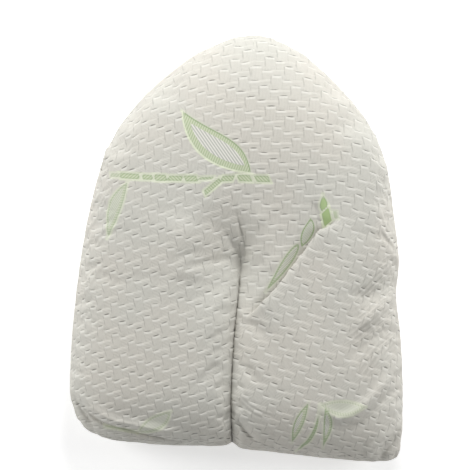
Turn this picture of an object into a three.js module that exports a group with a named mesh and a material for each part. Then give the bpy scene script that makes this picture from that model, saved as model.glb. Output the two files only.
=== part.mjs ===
// A filled V pillow, folded so that its two arms lie pressed side by side.
// It lies on its back: +Z is up out of its face, +Y points to the rounded apex where the arms join,
// and the origin is under the middle of its box. Sizes are in millimetres.

import * as THREE from "three";

// Driving dimensions
const LENGTH = 740;
const WIDTH = 588;
const THICKNESS = 128;
const SEAM_HEIGHT = 50;

// The face and the back swell this far from the seam: the fullest lump of filling adds to the
// face's crown, and the surface below flattens the back's
const FULLEST_LUMP = 9;
const FACE_CROWN = THICKNESS - SEAM_HEIGHT - FULLEST_LUMP;
const BACK_CROWN = 63;

// Distance in from each seam over which the panels reach their full height
const SIDE_SWELL = 142;
const END_SWELL = 108;

// The arms meet along the crease: the slit between them, and the depth of the valley over it
const SLIT = 2.4;
const CREASE_SWELL = 58;
const CREASE_DEPTH_FACE = 26;
const CREASE_DEPTH_BACK = 30;

// The slit ends at the notch, and its valley runs on in the face until it fades out
const NOTCH_Y = -60;
const VALLEY_TOP_Y = 72;

// Each arm's end rounds off where it meets the crease
const NICK_WIDTH = 9;
const NICK_LENGTH = 13;

// Steps of the surface mesh: across one arm, along it, and down the wall of the slit, with the
// steps by the seams drawn this share of the way to a cosine spacing
const STEPS_ACROSS = 21;
const STEPS_ALONG = 44;
const STEPS_DOWN_WALL = 3;
const EDGE_CROWDING = 0.45;
const CURVE_SAMPLES_PER_ROW = 60;

// The outer seam, from the crease round the left arm, over the apex and round the right arm back
// to the crease, as shares of half the width and half the length
const SEAM = [
  { place: "left inner corner", across: -0.018, along: -0.906 },
  { place: "left end, by the crease", across: -0.05, along: -0.945 },
  { place: "left end, inner half", across: -0.24, along: -0.961 },
  { place: "left end, outer half", across: -0.52, along: -0.96 },
  { place: "left end, by the corner", across: -0.78, along: -0.934 },
  { place: "left outer corner", across: -0.9, along: -0.885 },
  { place: "left side, low", across: -0.982, along: -0.768 },
  { place: "left side, widest", across: -1.0, along: -0.55 },
  { place: "left side, beside the notch", across: -0.968, along: -0.125 },
  { place: "left side, upper", across: -0.905, along: 0.21 },
  { place: "left shoulder", across: -0.83, along: 0.43 },
  { place: "left gable, low", across: -0.72, along: 0.595 },
  { place: "left gable, middle", across: -0.5, along: 0.79 },
  { place: "left gable, high", across: -0.245, along: 0.935 },
  { place: "apex", across: 0.02, along: 1.0 },
  { place: "right gable, high", across: 0.27, along: 0.94 },
  { place: "right gable, middle", across: 0.55, along: 0.765 },
  { place: "right gable, low", across: 0.745, along: 0.58 },
  { place: "right shoulder", across: 0.84, along: 0.41 },
  { place: "right side, upper", across: 0.9, along: 0.17 },
  { place: "right side, above the pinch", across: 0.943, along: -0.06 },
  { place: "right side, pinched by a fold", across: 0.934, along: -0.2 },
  { place: "right side, below the pinch", across: 0.972, along: -0.4 },
  { place: "right side, widest", across: 0.998, along: -0.66 },
  { place: "right side, low", across: 1.0, along: -0.88 },
  { place: "right outer corner", across: 0.98, along: -0.972 },
  { place: "right end, by the corner", across: 0.87, along: -0.998 },
  { place: "right end, outer half", across: 0.58, along: -0.994 },
  { place: "right end, inner half", across: 0.218, along: -0.974 },
  { place: "right end, by the crease", across: 0.048, along: -0.958 },
  { place: "right inner corner", across: -0.018, along: -0.906 },
];

// The line between the arms, from their inner corners up through the notch to the apex
const CENTRE_LINE = [
  { place: "inner corners", across: -0.018, along: -0.906 },
  { place: "low", across: -0.029, along: -0.72 },
  { place: "middle", across: -0.025, along: -0.4 },
  { place: "notch", across: -0.008, along: -0.16 },
  { place: "above the valley", across: -0.02, along: 0.22 },
  { place: "apex", across: 0.02, along: 1.0 },
];

// The filling lies unevenly: places where the face stands fuller, in millimetres, each by its
// share of the fullest lump
const LUMPS = [
  { lump: "elbow", x: 20, y: 190, radius: 150, share: 1 },
  { lump: "left arm, upper", x: -160, y: 20, radius: 110, share: 0.55 },
  { lump: "left arm, lower", x: -150, y: -210, radius: 105, share: 0.65 },
  { lump: "right arm, upper", x: 190, y: -20, radius: 90, share: 0.55 },
  { lump: "right arm, lower", x: 150, y: -230, radius: 110, share: 0.9 },
];

// Soft ridges and troughs of the face: a line from one end to the other in millimetres,
// how wide the fold is on each side of it, and how far it stands up or sinks in
const FOLDS = [
  { fold: "left line of the valley", x1: -12, y1: 66, x2: -2, y2: -40, width: 13, rise: -9 },
  { fold: "right line of the valley", x1: 8, y1: 44, x2: 0, y2: -40, width: 10, rise: -8 },
  { fold: "puff left of the valley", x1: -58, y1: 20, x2: -44, y2: -60, width: 28, rise: 5 },
  { fold: "upper pucker by the pinch", x1: 276, y1: 4, x2: 214, y2: -38, width: 11, rise: -5 },
  { fold: "ridge below it", x1: 272, y1: -14, x2: 214, y2: -62, width: 10, rise: 6 },
  { fold: "pucker at the pinch", x1: 276, y1: -56, x2: 204, y2: -98, width: 12, rise: -8 },
  { fold: "ridge below the pinch", x1: 274, y1: -80, x2: 206, y2: -138, width: 11, rise: 5 },
  { fold: "pucker on the right arm", x1: 262, y1: -116, x2: 192, y2: -166, width: 11, rise: -5 },
  { fold: "ridge low on the right arm", x1: 262, y1: -232, x2: 184, y2: -276, width: 15, rise: 6 },
  { fold: "trough under that ridge", x1: 240, y1: -282, x2: 140, y2: -292, width: 13, rise: -6 },
  { fold: "upper line of the left end", x1: -282, y1: -262, x2: -96, y2: -338, width: 11, rise: -6 },
  { fold: "lower line of the left end", x1: -252, y1: -318, x2: -60, y2: -350, width: 8, rise: 5 },
  { fold: "pull at the right inner end", x1: 4, y1: -296, x2: 44, y2: -340, width: 10, rise: -5 },
  { fold: "fold at the right corner", x1: 284, y1: -322, x2: 256, y2: -364, width: 9, rise: -6 },
];

// The cloth of the right arm laps over the cloth above it along this slanting tuck
const TUCK = {
  x1: 178,
  y1: 82,
  x2: 90,
  y2: -25,
  lip: 7,
  drop: 8,
  lipReach: 38,
  dropReach: 26,
  edge: 12,
};

// Shares along a fold's line between which it fades in and out; the tuck runs on to the slit
const FOLD_RUN = { start: -0.12, full: 0.3, ebbing: 0.7, end: 1.12 };
const TUCK_RUN = { start: -0.05, full: 0.45, ebbing: 1.4, end: 1.95 };

const LEFT = "left";
const RIGHT = "right";
const TOP = "face";
const BOTTOM = "back";

function planePoint(row) {
  return new THREE.Vector3((row.across * WIDTH) / 2, (row.along * LENGTH) / 2, 0);
}

function smoothStep(edgeLow, edgeHigh, value) {
  return THREE.MathUtils.smoothstep(value, edgeLow, edgeHigh);
}

// A curve through the rows of a table, cut from one named place to another and read by its length
function stretch(rows, fromPlace, toPlace) {
  const curve = new THREE.CatmullRomCurve3(rows.map(planePoint), false, "centripetal");
  const dense = curve.getPoints(CURVE_SAMPLES_PER_ROW * (rows.length - 1));
  const indexOf = (place) => rows.findIndex((row) => row.place === place) * CURVE_SAMPLES_PER_ROW;
  const start = indexOf(fromPlace);
  const end = indexOf(toPlace);
  const part = dense.slice(Math.min(start, end), Math.max(start, end) + 1);
  if (start > end) {
    part.reverse();
  }
  const reached = [0];
  for (let k = 1; k < part.length; k += 1) {
    reached.push(reached[k - 1] + part[k].distanceTo(part[k - 1]));
  }
  return (share) => {
    const target = share * reached[reached.length - 1];
    let k = 1;
    while (k < reached.length - 1 && reached[k] < target) {
      k += 1;
    }
    const step = (target - reached[k - 1]) / (reached[k] - reached[k - 1]);
    return part[k - 1].clone().lerp(part[k], step);
  };
}

// Shares of the way along a boundary, a little closer together near both of its ends
function crowdedShares(steps) {
  return Array.from({ length: steps + 1 }, (_, k) => {
    const even = k / steps;
    const crowded = (1 - Math.cos(Math.PI * even)) / 2;
    return THREE.MathUtils.lerp(even, crowded, EDGE_CROWDING);
  });
}

const ACROSS = crowdedShares(STEPS_ACROSS);
const ALONG = crowdedShares(STEPS_ALONG);

function findNotchStep() {
  const line = stretch(CENTRE_LINE, "inner corners", "apex");
  let step = 0;
  while (line(ALONG[step]).y < NOTCH_Y) {
    step += 1;
  }
  return step;
}

const NOTCH_STEP = findNotchStep();

// The four boundaries of one arm's half of the outline
function armBoundaries(side) {
  return {
    end: stretch(SEAM, `${side} outer corner`, `${side} inner corner`),
    side: stretch(SEAM, `${side} outer corner`, `${side} shoulder`),
    gable: stretch(SEAM, `${side} shoulder`, "apex"),
    centre: stretch(CENTRE_LINE, "inner corners", "apex"),
  };
}

// A point of the plane at a share across an arm, from its outer side to the crease, and along it
function armPoint(edges, across, along) {
  const point = edges.end(across).multiplyScalar(1 - along);
  point.addScaledVector(edges.gable(across), along);
  point.addScaledVector(edges.side(along), 1 - across);
  point.addScaledVector(edges.centre(along), across);
  point.addScaledVector(edges.end(0), -(1 - across) * (1 - along));
  point.addScaledVector(edges.end(1), -across * (1 - along));
  point.addScaledVector(edges.gable(0), -(1 - across) * along);
  point.addScaledVector(edges.gable(1), -across * along);
  return point;
}

// Rises from 0 at a seam to 1 at the full swell: like a quarter circle at power 0.5, and like a
// smooth-bottomed hollow at power 2
const QUARTER_CIRCLE = 0.5;
const SMOOTH_HOLLOW = 2;

function arch(distance, swell, power = QUARTER_CIRCLE) {
  const left = 1 - Math.min(distance / swell, 1);
  return (1 - left * left) ** power;
}

// The lesser of two distances, rounded off where they are alike
function softMinimum(a, b) {
  const sharpness = 3;
  if (Math.min(a, b) <= 0) {
    return 0;
  }
  return (a ** -sharpness + b ** -sharpness) ** (-1 / sharpness);
}

// How far a point is off a fold's line, positive to the left of its run, and its share along it
function againstLine(line, x, y) {
  const run = new THREE.Vector2(line.x2 - line.x1, line.y2 - line.y1);
  const length = run.length();
  run.divideScalar(length);
  const dx = x - line.x1;
  const dy = y - line.y1;
  return { off: run.x * dy - run.y * dx, along: (run.x * dx + run.y * dy) / length };
}

// 1 along the run of a fold, fading to 0 between the shares where it starts and ends
function runFade(along, { start, full, ebbing, end }) {
  return smoothStep(start, full, along) * (1 - smoothStep(ebbing, end, along));
}

function lumpHeight(x, y) {
  return LUMPS.reduce((height, lump) => {
    const away = Math.hypot(x - lump.x, y - lump.y) / lump.radius;
    return height + FULLEST_LUMP * lump.share * Math.exp(-(away ** 2));
  }, 0);
}

function foldHeight(x, y) {
  return FOLDS.reduce((height, line) => {
    const { off, along } = againstLine(line, x, y);
    return height + line.rise * runFade(along, FOLD_RUN) * Math.exp(-((off / line.width) ** 2));
  }, 0);
}

function tuckHeight(x, y) {
  const { off, along } = againstLine(TUCK, x, y);
  const over = TUCK.lip * Math.exp(-Math.max(off, 0) / TUCK.lipReach);
  const under = -TUCK.drop * Math.exp(Math.min(off, 0) / TUCK.dropReach);
  const step = THREE.MathUtils.lerp(under, over, smoothStep(-TUCK.edge, TUCK.edge, off));
  return step * runFade(along, TUCK_RUN);
}

// Height of the face or the back over a point of the plane
function panelHeight(layer, point, edges, across, along) {
  const toSide = point.distanceTo(edges.side(along));
  const toGable = point.distanceTo(edges.gable(across));
  const toEnd = point.distanceTo(edges.end(across));
  const toCentre = point.distanceTo(edges.centre(along));
  const swell = arch(softMinimum(toSide, toGable), SIDE_SWELL) * arch(toEnd, END_SWELL);
  const aboveNotch = smoothStep(NOTCH_Y, VALLEY_TOP_Y, point.y);
  const rounding = THREE.MathUtils.lerp(QUARTER_CIRCLE, SMOOTH_HOLLOW, aboveNotch);
  const valley = (1 - aboveNotch) * (1 - arch(toCentre, CREASE_SWELL, rounding));
  if (layer === TOP) {
    const { x, y } = point;
    const crown = FACE_CROWN - CREASE_DEPTH_FACE * valley + lumpHeight(x, y);
    return SEAM_HEIGHT + swell * (crown + foldHeight(x, y) + tuckHeight(x, y));
  }
  return Math.max(0, SEAM_HEIGHT - swell * (BACK_CROWN - CREASE_DEPTH_BACK * valley));
}

function slitHalfWidth(y) {
  const fromEnd = y - CENTRE_LINE[0].along * (LENGTH / 2);
  return SLIT / 2 + NICK_WIDTH * Math.exp(-fromEnd / NICK_LENGTH);
}

// Collects the points and triangles of one closed surface, with each place stored once
class Surface {
  constructor() {
    this.positions = [];
    this.triangles = [];
    this.places = new Map();
  }

  point(place, make) {
    if (!this.places.has(place)) {
      const { x, y, z } = make();
      this.places.set(place, this.positions.length / 3);
      this.positions.push(x, y, z);
    }
    return this.places.get(place);
  }

  // Split from b to d, which lies along the slanting folds of both arms
  quad(a, b, c, d, flipped) {
    for (const corners of [[a, b, d], [b, c, d]]) {
      const [p, q, r] = flipped ? [corners[0], corners[2], corners[1]] : corners;
      if (p !== q && q !== r && r !== p) {
        this.triangles.push(p, q, r);
      }
    }
  }

  geometry() {
    const shape = new THREE.BufferGeometry();
    shape.setAttribute("position", new THREE.Float32BufferAttribute(this.positions, 3));
    shape.setIndex(this.triangles);
    shape.computeVertexNormals();
    return shape;
  }
}

// The face and back of one arm, joined along the seam, and its wall in the slit
function addArm(surface, side) {
  const edges = armBoundaries(side);
  const inward = side === LEFT ? -1 : 1;

  const onSeam = (i, j) => i === 0 || j === 0 || j === STEPS_ALONG;
  const owner = (i, j) => (i === STEPS_ACROSS && j >= NOTCH_STEP ? "both" : side);

  function place(layer, i, j) {
    const name = onSeam(i, j) ? "seam" : layer;
    return surface.point(`${owner(i, j)} ${name} ${i} ${j}`, () => {
      const point = armPoint(edges, ACROSS[i], ALONG[j]);
      const height = onSeam(i, j) ? SEAM_HEIGHT : panelHeight(layer, point, edges, ACROSS[i], ALONG[j]);
      const slit = i === STEPS_ACROSS && j < NOTCH_STEP ? slitHalfWidth(point.y) : 0;
      return { x: point.x + inward * slit, y: point.y, z: height };
    });
  }

  function wallPlace(k, j) {
    if (k === 0 || k === STEPS_DOWN_WALL || j === 0) {
      return place(k === 0 ? TOP : BOTTOM, STEPS_ACROSS, j);
    }
    return surface.point(`${owner(STEPS_ACROSS, j)} wall ${k} ${j}`, () => {
      const point = armPoint(edges, 1, ALONG[j]);
      const high = panelHeight(TOP, point, edges, 1, ALONG[j]);
      const low = panelHeight(BOTTOM, point, edges, 1, ALONG[j]);
      const slit = j < NOTCH_STEP ? slitHalfWidth(point.y) : 0;
      const height = THREE.MathUtils.lerp(high, low, k / STEPS_DOWN_WALL);
      return { x: point.x + inward * slit, y: point.y, z: height };
    });
  }

  for (let j = 0; j < STEPS_ALONG; j += 1) {
    for (let i = 0; i < STEPS_ACROSS; i += 1) {
      for (const layer of [TOP, BOTTOM]) {
        const flipped = (side === RIGHT) !== (layer === BOTTOM);
        surface.quad(
          place(layer, i, j),
          place(layer, i + 1, j),
          place(layer, i + 1, j + 1),
          place(layer, i, j + 1),
          flipped,
        );
      }
    }
  }

  for (let j = 0; j < NOTCH_STEP; j += 1) {
    for (let k = 0; k < STEPS_DOWN_WALL; k += 1) {
      surface.quad(
        wallPlace(k, j),
        wallPlace(k + 1, j),
        wallPlace(k + 1, j + 1),
        wallPlace(k, j + 1),
        side === RIGHT,
      );
    }
  }
}

// White knitted cover with a raised basket weave and pale green leaves
const COVER = new THREE.MeshStandardMaterial({ color: 0xe4e2dc, roughness: 0.93, metalness: 0 });

function makePillow() {
  const surface = new Surface();
  addArm(surface, LEFT);
  addArm(surface, RIGHT);
  const pillow = new THREE.Mesh(surface.geometry(), COVER);
  pillow.name = "v_pillow";
  return pillow;
}

const group = new THREE.Group();
group.add(makePillow());

export default group;
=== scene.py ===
"""A filled V pillow, folded so that its two arms lie side by side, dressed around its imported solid.

The cover is two sewn panels of white knit with a raised basket weave and pale green leaves.
Sizes of the pillow are in millimetres and turn to metres where a mesh is made. The settings, the
lights and the camera are in metres.
"""

import math
from collections import namedtuple

import bpy
import numpy as np
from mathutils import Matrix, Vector


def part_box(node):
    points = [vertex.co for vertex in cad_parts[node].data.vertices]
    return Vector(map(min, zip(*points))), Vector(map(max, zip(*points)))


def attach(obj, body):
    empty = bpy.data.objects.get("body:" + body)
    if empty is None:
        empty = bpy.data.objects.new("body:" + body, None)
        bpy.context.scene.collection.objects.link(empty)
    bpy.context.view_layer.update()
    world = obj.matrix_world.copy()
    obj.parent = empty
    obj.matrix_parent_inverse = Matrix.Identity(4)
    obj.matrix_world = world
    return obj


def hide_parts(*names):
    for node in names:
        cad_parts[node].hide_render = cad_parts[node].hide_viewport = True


bl_info = {
    "name": "V Pillow",
    "version": (1, 0, 0),
    "blender": (4, 5, 0),
    "location": "View3D > Sidebar > V Pillow",
    "description": "Builds a filled V pillow in a basket-weave knit cover with leaves",
    "category": "Object",
}

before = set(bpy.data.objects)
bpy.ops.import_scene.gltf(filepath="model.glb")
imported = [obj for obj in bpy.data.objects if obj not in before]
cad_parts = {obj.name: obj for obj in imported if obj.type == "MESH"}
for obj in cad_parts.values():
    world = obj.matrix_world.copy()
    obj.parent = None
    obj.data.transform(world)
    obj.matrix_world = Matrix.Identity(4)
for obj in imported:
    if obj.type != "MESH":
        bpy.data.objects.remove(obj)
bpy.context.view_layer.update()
SOLID = "v_pillow"
BODY = "root"

LEFT = "left"
RIGHT = "right"
FACE = "face"
BACK = "back"

# Which way along x leads from the crease into an arm
OFF_CENTRE = {LEFT: -1, RIGHT: 1}

MM = 0.001
LOW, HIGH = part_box(SOLID)
LENGTH = 740.0
WIDTH = 588.0
THICKNESS = (HIGH.z - LOW.z) / MM
SEAM_HEIGHT = 50.0

# The face and the back swell this far from the seam
FULLEST_LUMP = 9.0
FACE_CROWN = THICKNESS - SEAM_HEIGHT - FULLEST_LUMP
BACK_CROWN = 63.0

# Distance in from each seam over which the panels reach their full height
SIDE_SWELL = 142.0
END_SWELL = 108.0
CORNER_SHARPNESS = 3

# The crease between the arms, and the valley that runs on above it
SLIT = 0.4
WALL_GAP = 0.05
CREASE_SWELL = 58.0
CREASE_DEPTH_FACE = 26.0
CREASE_DEPTH_BACK = 30.0
CREASE_ROUNDING = 0.5
VALLEY_ROUNDING = 2.0
NOTCH_Y = -60.0
VALLEY_TOP_Y = 72.0

# The inner corners at the arms' ends are rounded off by this much, fading along the crease
NICK_WIDTHS = {LEFT: 2.0, RIGHT: 9.0}
NICK_LENGTH = 18.0

# Steps across an arm and along it for the settling of the filling. Each is then cut in four, and
# the one beside a seam once more in six
CAGE_ACROSS = 32
CAGE_ALONG = 84
FINER = 4
SEAM_ROWS = 6
WALL_STEPS = 6
EDGE_CROWDING = 0.45

# No distance and no normal is taken as shorter than this
TINY = 1e-6
TINY_NORMAL = 1e-9

# Samples of a curve from one of its points to the next, in full and for a fold's line
CURVE_SAMPLES = 60
LINE_SAMPLES = 12

# The outer seam, as shares of half the width and half the length
SEAM = (
    ("left inner corner", -0.012, -0.938),
    ("left end, by the crease", -0.05, -0.952),
    ("left end, inner half", -0.24, -0.961),
    ("left end, outer half", -0.52, -0.96),
    ("left end, by the corner", -0.78, -0.934),
    ("left outer corner", -0.9, -0.885),
    ("left side, low", -0.982, -0.768),
    ("left side, widest", -1.0, -0.55),
    ("left side, beside the notch", -0.968, -0.125),
    ("left side, upper", -0.905, 0.21),
    ("left shoulder", -0.83, 0.43),
    ("left gable, low", -0.72, 0.595),
    ("left gable, middle", -0.5, 0.79),
    ("left gable, high", -0.245, 0.935),
    ("apex", 0.02, 1.0),
    ("right gable, high", 0.27, 0.94),
    ("right gable, middle", 0.55, 0.765),
    ("right gable, low", 0.745, 0.58),
    ("right shoulder", 0.84, 0.41),
    ("right side, upper", 0.9, 0.17),
    ("right side, above the pinch", 0.943, -0.06),
    ("right side, pinched by a fold", 0.934, -0.2),
    ("right side, below the pinch", 0.972, -0.4),
    ("right side, widest", 0.998, -0.66),
    ("right side, low", 1.0, -0.88),
    ("right outer corner", 0.98, -0.972),
    ("right end, by the corner", 0.87, -0.998),
    ("right end, outer half", 0.58, -0.994),
    ("right end, inner half", 0.218, -0.974),
    ("right end, by the crease", 0.048, -0.962),
    ("right inner corner", -0.012, -0.938),
)

# The line between the arms, from their inner corners up through the notch to the apex
CENTRE_LINE = (
    ("inner corners", -0.012, -0.938),
    ("low", -0.029, -0.72),
    ("middle", -0.025, -0.4),
    ("notch", -0.008, -0.16),
    ("above the valley", -0.02, 0.22),
    ("apex", 0.02, 1.0),
)

# Places where the face stands fuller or sinks in: x, y, radius and share of the fullest lump
LUMPS = (
    ("elbow", 20, 190, 150, 1.0),
    ("left arm, upper", -160, 20, 110, 0.55),
    ("left arm, lower", -150, -210, 105, 0.65),
    ("right arm, upper", 190, -20, 90, 0.55),
    ("right arm, lower", 150, -230, 110, 0.9),
    ("dip above the valley", 45, 15, 90, -1.3),
    ("hollow at the head of the crease", -28, -46, 54, -1.8),
)

# Soft ridges and troughs of the face: the points that the line runs through, how wide the fold
# is on each side of it, and how far it stands up or sinks in
FOLDS = (
    ("right line of the valley", ((-14, 58), (-7, 34), (4, 4), (4, -20), (-2, -50)), 4, -6),
    ("left line of the valley", ((-36, 30), (-18, 2), (-8, -14), (-2, -30), (-3, -56)), 6, -4),
    ("slope left of the valley", ((-60, 62), (-40, 10), (-22, -50)), 28, -7),
    ("puff left of the valley", ((-112, 50), (-98, -5), (-78, -80)), 28, 8),
    ("fill right of the valley", ((18, 70), (26, 20), (24, -40)), 20, 6),
    ("short pull above the tuck", ((119, 82), (125.5, 60), (131, 36)), 6, -5),
    ("pucker at the pinch", ((276, -50), (240, -66), (204, -92)), 13, -6),
    ("ridge below the pinch", ((274, -74), (240, -98), (206, -132)), 12, 8),
    ("trough on the right arm", ((266, -128), (228, -152), (192, -184)), 15, -6),
    (
        "ridge low on the right arm",
        ((288, -196), (251, -229), (212, -270), (178, -284), (146, -272)),
        9,
        9,
    ),
    ("trough under that ridge", ((270, -236), (238, -270), (206, -296), (150, -298)), 13, -6),
    ("first line of the left end", ((-284, -270), (-256, -308), (-238, -327)), 4.5, -13),
    ("second line of the left end", ((-275, -276), (-236, -311), (-178, -326), (-87, -345)), 4.5, -18),
    ("ridge of the left end", ((-263, -276), (-216, -306), (-164, -316), (-77, -330)), 9, 10),
    ("pull at the right inner end", ((4, -296), (22, -320), (44, -340)), 6, -12),
    ("fold at the right corner", ((288, -316), (270, -340), (250, -366)), 6, -16),
    ("ridge at the right corner", ((270, -306), (250, -330), (228, -352)), 9, 8),
)

# Folds narrower than this are left out while the filling settles
FINE_FOLD = 8.5

# Bundles of small wrinkles: the line that each follows, how far it spreads on each side, the
# distance from one wrinkle to the next and how far they stand up
WRINKLES = (
    ("above the pinch", ((256, 32), (240, 6), (222, -20)), 12, 8.0, 1.1),
    ("at the pinch", ((276, -8), (238, -44), (192, -96)), 18, 8.0, 2.3),
    ("below the pinch", ((270, -56), (238, -84), (198, -122)), 14, 7.8, 1.8),
    ("on the right arm", ((266, -90), (234, -118), (190, -160)), 16, 8.4, 1.6),
    ("low on the right arm", ((280, -140), (240, -176), (206, -226)), 19, 9.0, 2.0),
    ("at the left shoulder", ((-268, 70), (-244, 56), (-214, 46)), 9, 8.0, 0.6),
    ("across the left end", ((-276, -286), (-226, -318), (-160, -330), (-84, -346)), 15, 8.8, 1.3),
    ("under the leaf of the left end", ((-150, -322), (-110, -336), (-50, -350)), 8, 7.6, 1.1),
    ("at the left side", ((-286, -120), (-262, -136), (-232, -146)), 11, 8.8, 0.7),
    ("at the crease's left foot", ((-8, -300), (-30, -318), (-58, -330)), 9, 8.2, 0.9),
    ("at the crease's right foot", ((6, -262), (34, -280), (66, -290)), 10, 8.6, 0.9),
)
WRINKLE_START = 0.25
WRINKLE_SLANT = 0.35

# Shares of a fold's line where it starts, is full, ebbs and ends, and how round it is across:
# ridges are round, and troughs come to a crease
FOLD_RUN = (-0.12, 0.3, 0.7, 1.12)
ROUND_SHARPNESS = 2
CREASE_SHARPNESS = 1.25

# The slanting tuck of the right arm: the cloth below it laps over the cloth above
TUCK_LINE = (
    (172, 61),
    (156, 46),
    (145, 37),
    (131, 28.5),
    (121, 14),
    (108.5, -5),
    (95, -24.5),
    (52, -84),
    (6, -127),
)
TUCK_RUN = (0.02, 0.2, 0.8, 1.0)

# The lip stands up, leans over the groove beside it and rolls down at its edge. Each of these has
# its own reach from the line
TUCK_LIP = 10.0
TUCK_LIP_REACH = 38.0
TUCK_DROP = 14.0
TUCK_DROP_REACH = 16.0
TUCK_LEAN = 4.0
TUCK_LEAN_REACH = 7.0
TUCK_ROLL = 4.5
TUCK_ROLL_REACH = 3.0

# The grid's lines within this distance are drawn up to the tuck, by this share at most
TUCK_GATHER = 14.0
TUCK_PULL = 0.9


def fade(low, high, value):
    """Rises smoothly from 0 at low to 1 at high."""
    if isinstance(value, Wire):
        return value.fade(low, high)
    share = np.clip((value - low) / (high - low), 0.0, 1.0)
    return share * share * (3.0 - 2.0 * share)


def floor(value):
    """The whole number below a value."""
    return value.maths("FLOOR") if isinstance(value, Wire) else np.floor(value)


def wave(turns):
    """Swings between -1 and 1 once for each whole turn."""
    return (turns * math.tau).maths("SINE") if isinstance(turns, Wire) else np.sin(turns * math.tau)


class Wire:
    """A number that runs through a material's nodes; arithmetic on it adds the nodes."""

    def __init__(self, tree, socket):
        self.tree = tree
        self.socket = socket

    def maths(self, operation, *others):
        """The outcome of one operation on this number and others."""
        node = self.tree.nodes.new("ShaderNodeMath")
        node.operation = operation
        for place, value in zip(node.inputs, (self, *others)):
            feed(self.tree, value, place)
        return Wire(self.tree, node.outputs[0])

    def fade(self, low, high):
        """Rises smoothly from 0 at low to 1 at high."""
        node = self.tree.nodes.new("ShaderNodeMapRange")
        node.interpolation_type = "SMOOTHSTEP"
        feed(self.tree, self, node.inputs["Value"])
        node.inputs["From Min"].default_value = low
        node.inputs["From Max"].default_value = high
        return Wire(self.tree, node.outputs["Result"])

    def __add__(self, other):
        return self.maths("ADD", other)

    def __sub__(self, other):
        return self.maths("SUBTRACT", other)

    def __rsub__(self, other):
        return self * -1.0 + other

    def __mul__(self, other):
        return self.maths("MULTIPLY", other)

    __radd__ = __add__
    __rmul__ = __mul__


def feed(tree, value, place):
    """Links a wire or a node's output into a socket, or sets the socket's own value."""
    if isinstance(value, Wire):
        tree.links.new(value.socket, place)
    elif isinstance(value, bpy.types.NodeSocket):
        tree.links.new(value, place)
    else:
        place.default_value = value


# The outline and the plan of an arm


def curve_through(points):
    """A centripetal curve through points, sampled closely."""
    points = np.asarray(points, float)
    ends = np.vstack([2 * points[0] - points[1], points, 2 * points[-1] - points[-2]])
    gaps = np.sqrt(np.linalg.norm(np.diff(ends, axis=0), axis=1))
    share = (np.arange(CURVE_SAMPLES) / CURVE_SAMPLES)[:, None]
    parts = []
    for k in range(len(points) - 1):
        before, start, end, after = ends[k : k + 4]
        gap, own, following = gaps[k : k + 3]
        leaving = ((start - before) / gap - (end - before) / (gap + own) + (end - start) / own) * own
        meeting = (end - start) / own - (after - start) / (own + following) + (after - end) / following
        meeting = meeting * own
        square = 3 * (end - start) - 2 * leaving - meeting
        cube = 2 * (start - end) + leaving + meeting
        parts.append(start + share * (leaving + share * (square + share * cube)))
    return np.vstack([*parts, points[-1:]])


def lengths_along(points):
    """How far along a line of points each of them lies."""
    return np.concatenate([[0.0], np.cumsum(np.linalg.norm(np.diff(points, axis=0), axis=1))])


def read_by_length(dense, shares):
    """Points at shares of a sampled curve's length."""
    reached = lengths_along(dense)
    at = np.asarray(shares) * reached[-1]
    return np.stack([np.interp(at, reached, dense[:, axis]) for axis in range(2)], axis=1)


def stretch(rows, start, end, shares):
    """Points of the curve through a table's rows, from one named place to another."""
    names = [row[0] for row in rows]
    dense = curve_through([(row[1] * WIDTH / 2, row[2] * LENGTH / 2) for row in rows])
    first = names.index(start) * CURVE_SAMPLES
    last = names.index(end) * CURVE_SAMPLES
    part = dense[min(first, last) : max(first, last) + 1]
    return read_by_length(part[::-1] if first > last else part, shares)


def grid_marks(steps, finer, both_ends):
    """Marks along a boundary, counted in coarse steps, with more of them close to its seams."""
    even = np.arange(steps * finer + 1) / finer
    if finer == 1:
        return even
    close = (np.arange(1, SEAM_ROWS) / SEAM_ROWS) ** 2 / finer
    far = steps - close if both_ends else []
    return np.sort(np.concatenate([even, close, far]))


def crowded(marks, steps):
    """Shares of the way along a boundary, a little closer together near both of its ends."""
    even = marks / steps
    return even + EDGE_CROWDING * ((1 - np.cos(np.pi * even)) / 2 - even)


def against(line, x, y):
    """How far points are off a line, positive to the left of its run, and their share along it."""
    dense = curve_through(line)[:: CURVE_SAMPLES // LINE_SAMPLES]
    starts = dense[:-1]
    runs = np.diff(dense, axis=0)
    lengths = np.linalg.norm(runs, axis=1)
    reached = np.concatenate([[0.0], np.cumsum(lengths)])
    best = np.full(np.shape(x), np.inf)
    off = np.zeros(np.shape(x))
    along = np.zeros(np.shape(x))
    last = len(starts) - 1
    for k, (start, run, length) in enumerate(zip(starts, runs, lengths)):
        dx = x - start[0]
        dy = y - start[1]
        share = (dx * run[0] + dy * run[1]) / length**2
        held = np.clip(share, -np.inf if k == 0 else 0.0, np.inf if k == last else 1.0)
        away = np.hypot(dx - held * run[0], dy - held * run[1])
        side = (run[0] * dy - run[1] * dx) / length
        nearer = away < best
        best = np.where(nearer, away, best)
        off = np.where(nearer, np.copysign(away, side), off)
        along = np.where(nearer, (reached[k] + held * length) / reached[-1], along)
    return off, along


def run_fade(along, run):
    """1 along the run of a fold, fading to 0 between the shares where it starts and ends."""
    start, full, ebbing, end = run
    return fade(start, full, along) * (1 - fade(ebbing, end, along))


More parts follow.
